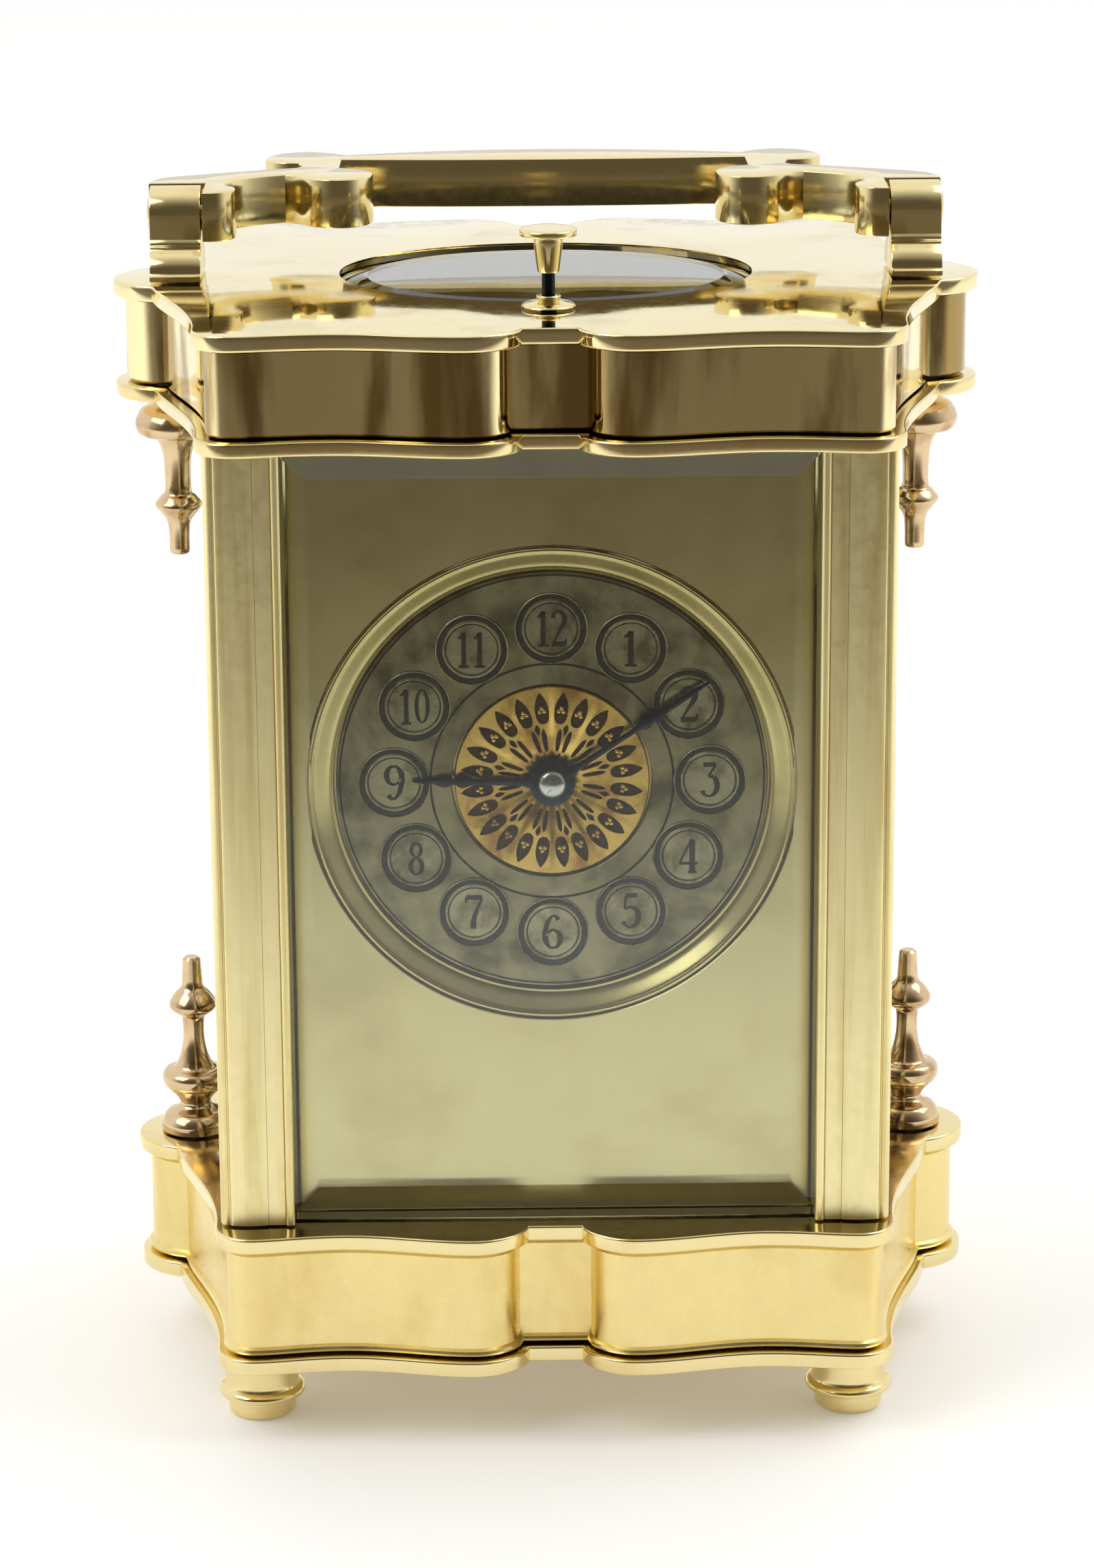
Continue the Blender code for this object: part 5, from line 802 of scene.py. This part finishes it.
DIGITS = {
    "1": (((.30, .97, .13), (.30, .60, .12), (.30, .04, .13)), ((.31, .97, .05), (.14, .80, .06)),
          ((.14, .03, .06), (.46, .03, .06))),
    "2": (((.12, .78, .13), (.13, .88, .08), (.22, .96, .06), (.36, .95, .08), (.47, .80, .13),
           (.44, .62, .12), (.30, .40, .07), (.12, .10, .05)), ((.08, .06, .11), (.50, .06, .11)),
          ((.50, .05, .05), (.52, .22, .04))),
    "3": (((.12, .93, .10), (.46, .93, .10)), ((.46, .93, .05), (.26, .60, .05)),
          ((.26, .60, .05), (.42, .56, .10), (.50, .36, .13), (.44, .14, .10), (.28, .04, .05),
           (.14, .10, .07), (.10, .20, .12))),
    "4": (((.38, .97, .05), (.06, .30, .05)), ((.04, .28, .06), (.54, .28, .06)),
          ((.40, .95, .13), (.40, .04, .13)), ((.28, .03, .06), (.52, .03, .06))),
    "5": (((.15, .93, .10), (.47, .95, .10)), ((.15, .93, .05), (.13, .55, .05)),
          ((.13, .55, .05), (.28, .62, .06), (.46, .52, .11), (.50, .33, .13), (.44, .12, .10),
           (.28, .04, .05), (.14, .10, .07), (.10, .20, .12))),
    "6": (((.45, .84, .12), (.38, .94, .07), (.28, .95, .05), (.15, .75, .10), (.09, .45, .13),
           (.10, .25, .13), (.20, .07, .07), (.30, .04, .05), (.42, .08, .08), (.50, .28, .13),
           (.44, .48, .09), (.30, .56, .05), (.17, .48, .05), (.12, .38, .05)),),
    "7": (((.08, .93, .11), (.52, .93, .11)),
          ((.52, .90, .05), (.36, .55, .08), (.28, .28, .12), (.27, .04, .13)),
          ((.08, .94, .05), (.07, .78, .04))),
}
OVALS = {"0": ((.30, .50, .24, .47, .13, .04),),
         "8": ((.30, .73, .18, .22, .10, .05), (.30, .27, .22, .25, .13, .05))}
PEN = 1.22
DIGIT_WIDTH = 0.6
DIGIT_ADVANCE = 0.5
PAIR_NARROWING = 0.86
OVAL_STEPS = 40
NUMERAL_LEVELS = ((0.96 * MM, 0.0), (1.03 * MM, 0.0), (1.06 * MM, 0.03 * MM))


def stroke(points):
    """The outline of a pen stroke through (x, y, width) points."""
    line = softened(points, sharp_turns(points, 60.0), steps=4) if len(points) > 2 else list(points)
    left, right = [], []
    for i, (x, y, width) in enumerate(line):
        ahead = Vector(line[min(i + 1, len(line) - 1)][:2]) - Vector(line[max(i - 1, 0)][:2])
        side = Vector((-ahead.y, ahead.x)).normalized() * width * PEN / 2
        left.append((x + side.x, y + side.y))
        right.append((x - side.x, y - side.y))
    return right + left[::-1]


def digit_shapes(digit, place, height, narrow):
    """One digit as a few flat solids: its strokes, or its ovals with their eyes."""
    shapes = []
    flip = digit == "9"
    source = "6" if flip else digit

    def placed(points):
        turned_points = [(DIGIT_WIDTH - x, 1.0 - y) if flip else (x, y) for x, y in points]
        return [((x * narrow) * height + place[0], y * height + place[1]) for x, y in turned_points]

    for points in DIGITS.get(source, ()):
        shapes.append(slab(placed(stroke(points)), NUMERAL_LEVELS))
    for x, y, across, up, thick, thin in OVALS.get(source, ()):
        outer = ellipse(across, up, OVAL_STEPS, x, y)
        eye = ellipse(across - thick, up - thin, OVAL_STEPS, x, y)
        shapes.append(slab(placed(outer), NUMERAL_LEVELS, [(placed(eye), NUMERAL_LEVELS)]))
    return shapes


def make_numerals():
    for hour in range(1, 13):
        x, y = polar(CARTOUCHE_CIRCLE, math.pi / 2 - math.tau * hour / 12)
        text = str(hour)
        narrow = 1.0 if len(text) == 1 else PAIR_NARROWING
        advance = DIGIT_ADVANCE * NUMERAL_HEIGHT * narrow
        start = x - (DIGIT_WIDTH * NUMERAL_HEIGHT * narrow + advance * (len(text) - 1)) / 2
        foot = y - NUMERAL_HEIGHT / 2
        shapes = []
        for i, digit in enumerate(text):
            shapes += digit_shapes(digit, (start + advance * i, foot), NUMERAL_HEIGHT, narrow)
        whole = joined(*shapes)
        whole.transform(DIAL)
        keep(f"numeral_{hour}", whole, WAX, "case")


LANCET = (
    (0.0, 3.9), (0.42, 3.25), (0.72, 2.4), (0.80, 1.5), (0.66, 0.55), (0.38, 0.12), (0.0, 0.0),
    (-0.38, 0.12), (-0.66, 0.55), (-0.80, 1.5), (-0.72, 2.4), (-0.42, 3.25),
)
SLOT = (
    (0.0, 2.8), (0.20, 2.3), (0.23, 1.2), (0.15, 0.2), (0.0, 0.0), (-0.15, 0.2), (-0.23, 1.2),
    (-0.20, 2.3),
)
DIAMOND = ((0.0, 0.55), (0.28, 0.0), (0.0, -0.8), (-0.28, 0.0))
ROSE_SECTORS = 12
# What pierces each sector: its outline, how far out its foot is in mm, and how far round in degrees
ROSE_PIERCINGS = ((LANCET, 7.25, 7.3), (LANCET, 7.25, -7.3), (SLOT, 3.8, 5.8), (SLOT, 3.8, -5.8),
                  (DIAMOND, 6.7, 0.0))
PIERCING_FLARE = ((0.20 * MM, 0.0), (0.62 * MM, 0.0), (0.74 * MM, -0.08 * MM))
ROSE_PROFILE = ((2.2, 0.30), (2.2, 0.66), (2.28, 0.70), (11.78, 0.70), (11.9, 0.58), (11.9, 0.30))
TREFOIL_BEAD = ((0.0, 0.60), (0.13, 0.58), (0.23, 0.50), (0.26, 0.40), (0.26, 0.295), (0.0, 0.295))
TREFOIL_PLACES = ((0.0, -0.29), (0.0, 0.29), (0.42, 0.0))
TREFOIL_CIRCLE = 8.7 * MM
TREFOIL_OFFSET = 7.3
TREFOIL_STEPS = 20
HALF_SECTOR = math.pi / ROSE_SECTORS

DIAL_STEPS = 192
CARTOUCHE_STEPS = 96
MASK_OPENING_STEPS = 160
MASK_GAP = 0.3
MASK_EDGE = 0.12 * MM


def band(inner, outer, low, high):
    """The profile of a flat ring, given in mm."""
    return scaled([(outer, low), (outer, high), (inner, high), (inner, low)])


def make_dial():
    low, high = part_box("dial_mask")
    sheet = [(low[0], low[2]), (high[0], low[2]), (high[0], high[2]), (low[0], high[2])]
    thick = high[1] - low[1]
    opening = circle((BEZEL_RADIUS + MASK_GAP) * MM, MASK_OPENING_STEPS, 0.0, DIAL_Z)
    levels = [(0.0, 0.0), (thick - MASK_EDGE, 0.0), (thick, MASK_EDGE)]
    mask = slab(sheet, levels, [(opening, levels)], Matrix.Translation((0.0, high[1], 0.0)) @ FACING_FRONT)
    dress("dial_mask_rubbed", mask, RUBBED_BRASS, "dial_mask")
    bezel = softened(BEZEL_PROFILE, (0, 1, 2, 3, 4, 5, 6, 7, 11, 12), closed=True, steps=3)
    dress("dial_bezel_turned", turned(scaled(bezel), DIAL, DIAL_STEPS, ring=True), BEZEL_BRASS, "dial_bezel",
          DRAWN_TURN)
    dress("chapter_ring_silvered", turned(scaled(CHAPTER_PROFILE[:-1]), DIAL, DIAL_STEPS, ring=True),
          SILVERED, "chapter_ring")
    for name, inner, outer in (("inner", 14.71, 14.91), ("outer", 25.81, 25.94)):
        line = turned(band(inner, outer, 0.75, 0.80), DIAL, DIAL_STEPS, ring=True)
        keep(f"chapter_line_{name}", line, WAX, "case")
    cartouche = turned(scaled(CARTOUCHE_PROFILE), steps=CARTOUCHE_STEPS)
    keep("cartouches", ring_of(cartouche, 12, CARTOUCHE_CIRCLE, 0.0, SILVER_EDGE, DIAL), SILVER_EDGE, "case")
    for name, inner, outer in (("channel", 3.65, 4.23), ("line", 3.09, 3.21)):
        ring = turned(band(inner, outer, 0.92, 0.945), steps=CARTOUCHE_STEPS, ring=True)
        keep(f"cartouche_{name}s", ring_of(ring, 12, CARTOUCHE_CIRCLE, 0.0, WAX, DIAL), WAX, "case")
    make_numerals()
    make_rose()


def make_rose():
    """The gilt centre: lancets, slots and diamonds pierced in twelve sectors over dark brown brass, painted
    shade that makes the openings read as dark.
    """
    cutters = []
    for sector in range(ROSE_SECTORS):
        middle = math.tau * (sector + 0.5) / ROSE_SECTORS
        for table, out, offset in ROSE_PIERCINGS:
            shape = softened(table, sharp_turns(table, 60.0, closed=True), closed=True, steps=3)[::-1]
            shape = clockwise([(x, y + out) for x, y in shape], middle + math.radians(offset))
            cutters.append(slab(scaled(shape), PIERCING_FLARE))
    gilt = bored(turned(scaled(ROSE_PROFILE), steps=DIAL_STEPS, ring=True), [joined(*cutters)])
    gilt.transform(DIAL)
    dress("dial_centre_gilt", gilt, GILT, "dial_centre")
    # Dark brown ground behind the piercings: painted shade seen through the openings.
    ground = turned(band(2.2, 11.88, 0.0, 0.29), DIAL, CARTOUCHE_STEPS, ring=True)
    keep("dial_centre_ground", ground, DARK_BRASS_PAINTED_SHADE, "case")
    for name, side in SIDES:
        leaf = joined(*[turned(scaled(TREFOIL_BEAD), Matrix.Translation((x * MM, y * MM, 0.0)), TREFOIL_STEPS)
                        for x, y in TREFOIL_PLACES])
        place = DIAL @ Matrix.Rotation(HALF_SECTOR + side * math.radians(TREFOIL_OFFSET), 4, "Z")
        keep(f"rose_trefoils_{name}", ring_of(leaf, ROSE_SECTORS, TREFOIL_CIRCLE, 1.0, GILT, place), GILT,
             "case")


make_dial()


# Hands and the collet that holds them

HAND_EDGE = 0.10 * MM
HAND_THICKNESS = 0.4
BOSS_RADIUS = 2.75
BOSS_STEPS = 60
HAND_BORE_STEPS = 48
MINUTE_SIDE = (
    (0.70, 3.0), (0.42, 3.9), (0.36, 8.0), (0.34, 12.3), (0.60, 13.1), (0.74, 13.75), (0.56, 14.35),
    (0.42, 14.6), (0.85, 14.95), (1.33, 15.25), (0.85, 15.55), (0.46, 15.95), (0.38, 17.6), (0.26, 21.4),
    (0.10, 22.8), (0.0, 23.0),
)
HOUR_SIDE = (
    (0.70, 3.0), (0.46, 3.9), (0.42, 7.0), (0.40, 9.4), (0.60, 10.2), (0.84, 10.9), (0.56, 11.6),
    (0.38, 12.0), (0.72, 12.9), (0.64, 13.6), (0.34, 14.5), (0.24, 16.3), (0.10, 16.95), (0.0, 17.1),
)


def hand_outline(side):
    """A hand pointing up, in mm: its round boss, then its side and the same side mirrored."""
    side = softened(side, sharp_turns(side), steps=3)
    opening = math.asin(side[0][0] / BOSS_RADIUS)
    arc = [polar(BOSS_RADIUS, math.pi / 2 + opening + (math.tau - 2 * opening) * i / BOSS_STEPS)
           for i in range(BOSS_STEPS + 1)]
    return arc + side + [(-x, y) for x, y in reversed(side[:-1])]


# Each hand's outline, where it points in degrees from twelve, its front's place and its bore, in mm
HANDS = {"hour_hand": (HOUR_SIDE, 271.0, -29.5, 1.6), "minute_hand": (MINUTE_SIDE, 56.5, -30.2, 1.3)}
COLLET_Y = -30.24 * MM
COLLET_DOME = ((0.0, 0.80), (0.6, 0.77), (1.1, 0.66), (1.5, 0.44), (1.72, 0.18), (1.76, 0.05), (1.76, 0.0),
               (0.0, 0.0))
COLLET_SLOT = (0.85, math.radians(45.0), 0.5)
PIN_HALF_WIDTH = 0.42
PIN_LEVELS = rounded(0.3 * MM, 0.86 * MM, 0.08 * MM, steps=2)


def make_hands():
    for node, (side, angle, front, bore) in HANDS.items():
        outline = scaled(clockwise(hand_outline(side), math.radians(angle)))
        levels = rounded(0.0, HAND_THICKNESS * MM, HAND_EDGE, steps=2)
        place = Matrix.Translation((0.0, (front + HAND_THICKNESS) * MM, DIAL_Z)) @ FACING_FRONT
        hole = (circle(bore * MM, HAND_BORE_STEPS), straight(0.0, HAND_THICKNESS * MM))
        dress(node + "_blued", slab(outline, levels, [hole], place), BLUED_STEEL, node)
    place = Matrix.Translation((0.0, 0.0, DIAL_Z)) @ FACING_FRONT
    pipe = turned(band(1.65, 2.0, 25.0, 29.05), place, HAND_BORE_STEPS, ring=True)
    keep("hour_pipe", pipe, POLISHED_STEEL, "hour_body")
    dome = turned(scaled(softened(COLLET_DOME, (5, 6), steps=3)), steps=64)
    collet = slotted(dome, *COLLET_SLOT)
    place = Matrix.Translation((0.0, COLLET_Y, DIAL_Z)) @ FACING_FRONT
    collet.transform(place)
    dress("hand_collet_domed", collet, POLISHED_STEEL, "hand_collet")
    square = [(-PIN_HALF_WIDTH, -PIN_HALF_WIDTH), (PIN_HALF_WIDTH, -PIN_HALF_WIDTH),
              (PIN_HALF_WIDTH, PIN_HALF_WIDTH), (-PIN_HALF_WIDTH, PIN_HALF_WIDTH)]
    keep("collet_pin", slab(scaled(square), PIN_LEVELS, place=place), POLISHED_STEEL, BODY_OF["hand_collet"])


make_hands()


# Behind the rear door: the coiled gong and the door's knob

GONG_Y = 22.3 * MM
GONG_INNER_RADIUS = 18.5 * MM
GONG_PITCH = 2.8 * MM
GONG_LOOPS = 3
GONG_STEPS = 72
GONG_WIRE_RADIUS = 0.8 * MM
GONG_WIRE_SIDES = 16
KNOB_PLACE = (-29.3 * MM, 36.3 * MM, 70.4 * MM)
KNOB_PROFILE = (
    (0.0, 4.6), (0.8, 4.58), (1.6, 4.4), (2.12, 4.05), (2.3, 3.3), (1.84, 2.3), (1.05, 1.85),
    (0.97, 1.0), (1.1, 0.8), (1.8, 0.64), (1.84, 0.3), (1.84, 0.0), (0.0, 0.0),
)


def make_gong():
    """One round wire wound in a flat spiral about the winding arbors' height."""
    middle = sum(heights("going_winding_arbor")) / 2
    line = [(-2 * GONG_WIRE_RADIUS, -GONG_INNER_RADIUS)]
    for step in range(GONG_LOOPS * GONG_STEPS + 1):
        turns = step / GONG_STEPS
        line.append(polar(GONG_INNER_RADIUS + GONG_PITCH * turns, math.tau * turns - math.pi / 2))
    shape = bmesh.new()
    rings = []
    for i, (x, z) in enumerate(line):
        ahead = Vector(line[min(i + 1, len(line) - 1)]) - Vector(line[max(i - 1, 0)])
        side = Vector((-ahead.y, ahead.x)).normalized()
        ring = []
        for across, deep in circle(GONG_WIRE_RADIUS, GONG_WIRE_SIDES):
            ring.append(shape.verts.new((x + side.x * across, GONG_Y + deep,
                                         middle + z + side.y * across)))
        rings.append(ring)
    for one, other in zip(rings, rings[1:]):
        for i in range(len(one)):
            shape.faces.new((one[i - 1], one[i], other[i], other[i - 1]))
    shape.faces.new(rings[0])
    shape.faces.new(rings[-1])
    bmesh.ops.recalc_face_normals(shape, faces=shape.faces)
    dress("gong_wire", shape, BLUED_STEEL, "gong")


make_gong()
turned_at("door_knob", KNOB_PROFILE, (0, 11), POLISHED_BRASS,
          Matrix.Translation(KNOB_PLACE) @ Matrix.Rotation(math.radians(-90.0), 4, "X"))


# Pieces that keep their CAD shape take their finish here

CAD_FINISHES = (
    (GLASS, ("glass_front", "glass_left", "glass_right", "door_glass")),
    (DRAWN_BRASS, ("door_frame",)),
    (RUBBED_BRASS, ("dial_plate",)),
    (MOVEMENT_BRASS, ("movement_front_plate", "movement_back_plate", "going_barrel", "strike_barrel",
                      "centre_wheel", "third_wheel", "contrate_wheel", "escape_wheel", "minute_wheel",
                      "strike_pin_wheel", "strike_fly")),
    (SILVERED, ("platform",)),
    (POLISHED_BRASS, ("balance_wheel", "balance_cock")),
    (POLISHED_STEEL, ("going_winding_arbor", "strike_winding_arbor", "hammer", "gong_stand",
                      "repeat_lever")),
)


def finish_cad_pieces():
    for material, nodes in CAD_FINISHES:
        for node in nodes:
            for place in bpy.data.objects[node].material_slots:
                place.material = material


finish_cad_pieces()


# Camera, floor and light

LENS = 109.65
SENSOR_WIDTH = 36.0
FARTHEST_SEEN = 50.0
CAMERA_PLACE = (-7.439 * MM, -588.142 * MM, 245.318 * MM)
YAW, PITCH, ROLL = math.radians(0.7), math.radians(-16.257), math.radians(-0.356)


def make_camera():
    """The camera of the photograph: a long lens above the clock, almost level from side to side."""
    camera = new_object("camera", bpy.data.cameras.new("camera"))
    camera.data.sensor_width = SENSOR_WIDTH
    camera.data.lens = LENS
    camera.data.clip_end = FARTHEST_SEEN
    ahead = Vector((math.sin(YAW) * math.cos(PITCH), math.cos(YAW) * math.cos(PITCH), math.sin(PITCH)))
    across = ahead.cross(Vector((0.0, 0.0, 1.0))).normalized()
    up = across.cross(ahead)
    right = across * math.cos(ROLL) + up * math.sin(ROLL)
    above = up * math.cos(ROLL) - across * math.sin(ROLL)
    turn = Matrix((right, above, -ahead)).transposed().to_4x4()
    camera.matrix_world = Matrix.Translation(CAMERA_PLACE) @ turn
    bpy.context.scene.camera = camera


FLOOR_HALF = 4.0
FLOOR_PALE = "#fbfbfa"
# Painted shade: far in front of the clock the floor dims to this tone, standing in for the room's shadow
# there, which the front's mirror brass reflects.
FLOOR_PAINTED_SHADE = "#706556"
FLOOR_LIFT = 0.15
FLOOR_SHADE_FROM = -0.15
FLOOR_SHADE_TO = -0.43
STUDIO_PALE = "#ffffff"
STUDIO_DIM = "#5c554a"
STUDIO_DIMS = (-0.9, 0.1)
# Name, place in metres, size in metres and power in watts
SOFTBOXES = (("softbox_left", (-0.9, -0.5, 1.1), 0.9, 6.0), ("softbox_right", (0.9, 0.1, 1.3), 0.9, 5.0))
LIT_POINT = Vector((0.0, 0.0, 0.07))


def floor_material():
    """Pale paint with painted shade far in front of the clock, where it dims as if in the room's shadow, and
    it looks a little lighter than its lit shade.
    """
    material, tree = new_material("pale_table_paint")
    place = add(tree, "ShaderNodeTexCoord").outputs["Object"]
    apart = add(tree, "ShaderNodeSeparateXYZ", {"Vector": place})
    near = add(tree, "ShaderNodeMapRange", {"Value": apart.outputs["Y"], "From Min": FLOOR_SHADE_TO,
                                            "From Max": FLOOR_SHADE_FROM},
               interpolation_type="SMOOTHSTEP").outputs["Result"]
    tone = mixed(tree, near, FLOOR_PAINTED_SHADE, FLOOR_PALE)
    shader = add(tree, "ShaderNodeBsdfPrincipled", {"Base Color": tone, "Roughness": 0.55})
    path = add(tree, "ShaderNodeLightPath").outputs
    seen = maths(tree, "ADD", path["Is Camera Ray"], path["Is Transmission Ray"])
    seen = maths(tree, "ADD", seen, path["Is Glossy Ray"])
    glow = maths(tree, "MULTIPLY", seen, maths(tree, "MULTIPLY", near, FLOOR_LIFT))
    lift = add(tree, "ShaderNodeEmission", {"Strength": glow})
    both = add(tree, "ShaderNodeAddShader", {0: shader.outputs["BSDF"], 1: lift.outputs["Emission"]})
    add(tree, "ShaderNodeOutputMaterial", {"Surface": both.outputs["Shader"]})
    return material


def studio_world():
    """White behind the clock and dim in front of it, which the front's mirror brass shows."""
    world = bpy.data.worlds.new("studio")
    world.use_nodes = True
    tree = world.node_tree
    tree.nodes.clear()
    way = add(tree, "ShaderNodeTexCoord").outputs["Generated"]
    apart = add(tree, "ShaderNodeSeparateXYZ", {"Vector": way})
    rear = add(tree, "ShaderNodeMapRange", {"Value": apart.outputs["Y"], "From Min": STUDIO_DIMS[0],
                                            "From Max": STUDIO_DIMS[1]}, interpolation_type="SMOOTHSTEP")
    tone = mixed(tree, rear.outputs["Result"], STUDIO_DIM, STUDIO_PALE)
    sky = add(tree, "ShaderNodeBackground", {"Color": tone, "Strength": 1.0})
    add(tree, "ShaderNodeOutputWorld", {"Surface": sky.outputs["Background"]})
    return world


def make_stage():
    floor = new_object("floor", bpy.data.meshes.new("floor"))
    half = FLOOR_HALF
    floor.data.from_pydata([(-half, -half, 0), (half, -half, 0), (half, half, 0), (-half, half, 0)], [],
                           [(0, 1, 2, 3)])
    floor.data.materials.append(floor_material())
    bpy.context.scene.world = studio_world()
    for name, place, size, power in SOFTBOXES:
        lamp = new_object(name, bpy.data.lights.new(name, "AREA"))
        lamp.data.size = size
        lamp.data.energy = power
        lamp.location = place
        lamp.rotation_euler = (LIT_POINT - Vector(place)).to_track_quat("-Z", "Y").to_euler()


make_camera()
make_stage()
bpy.context.scene.view_settings.view_transform = "Standard"
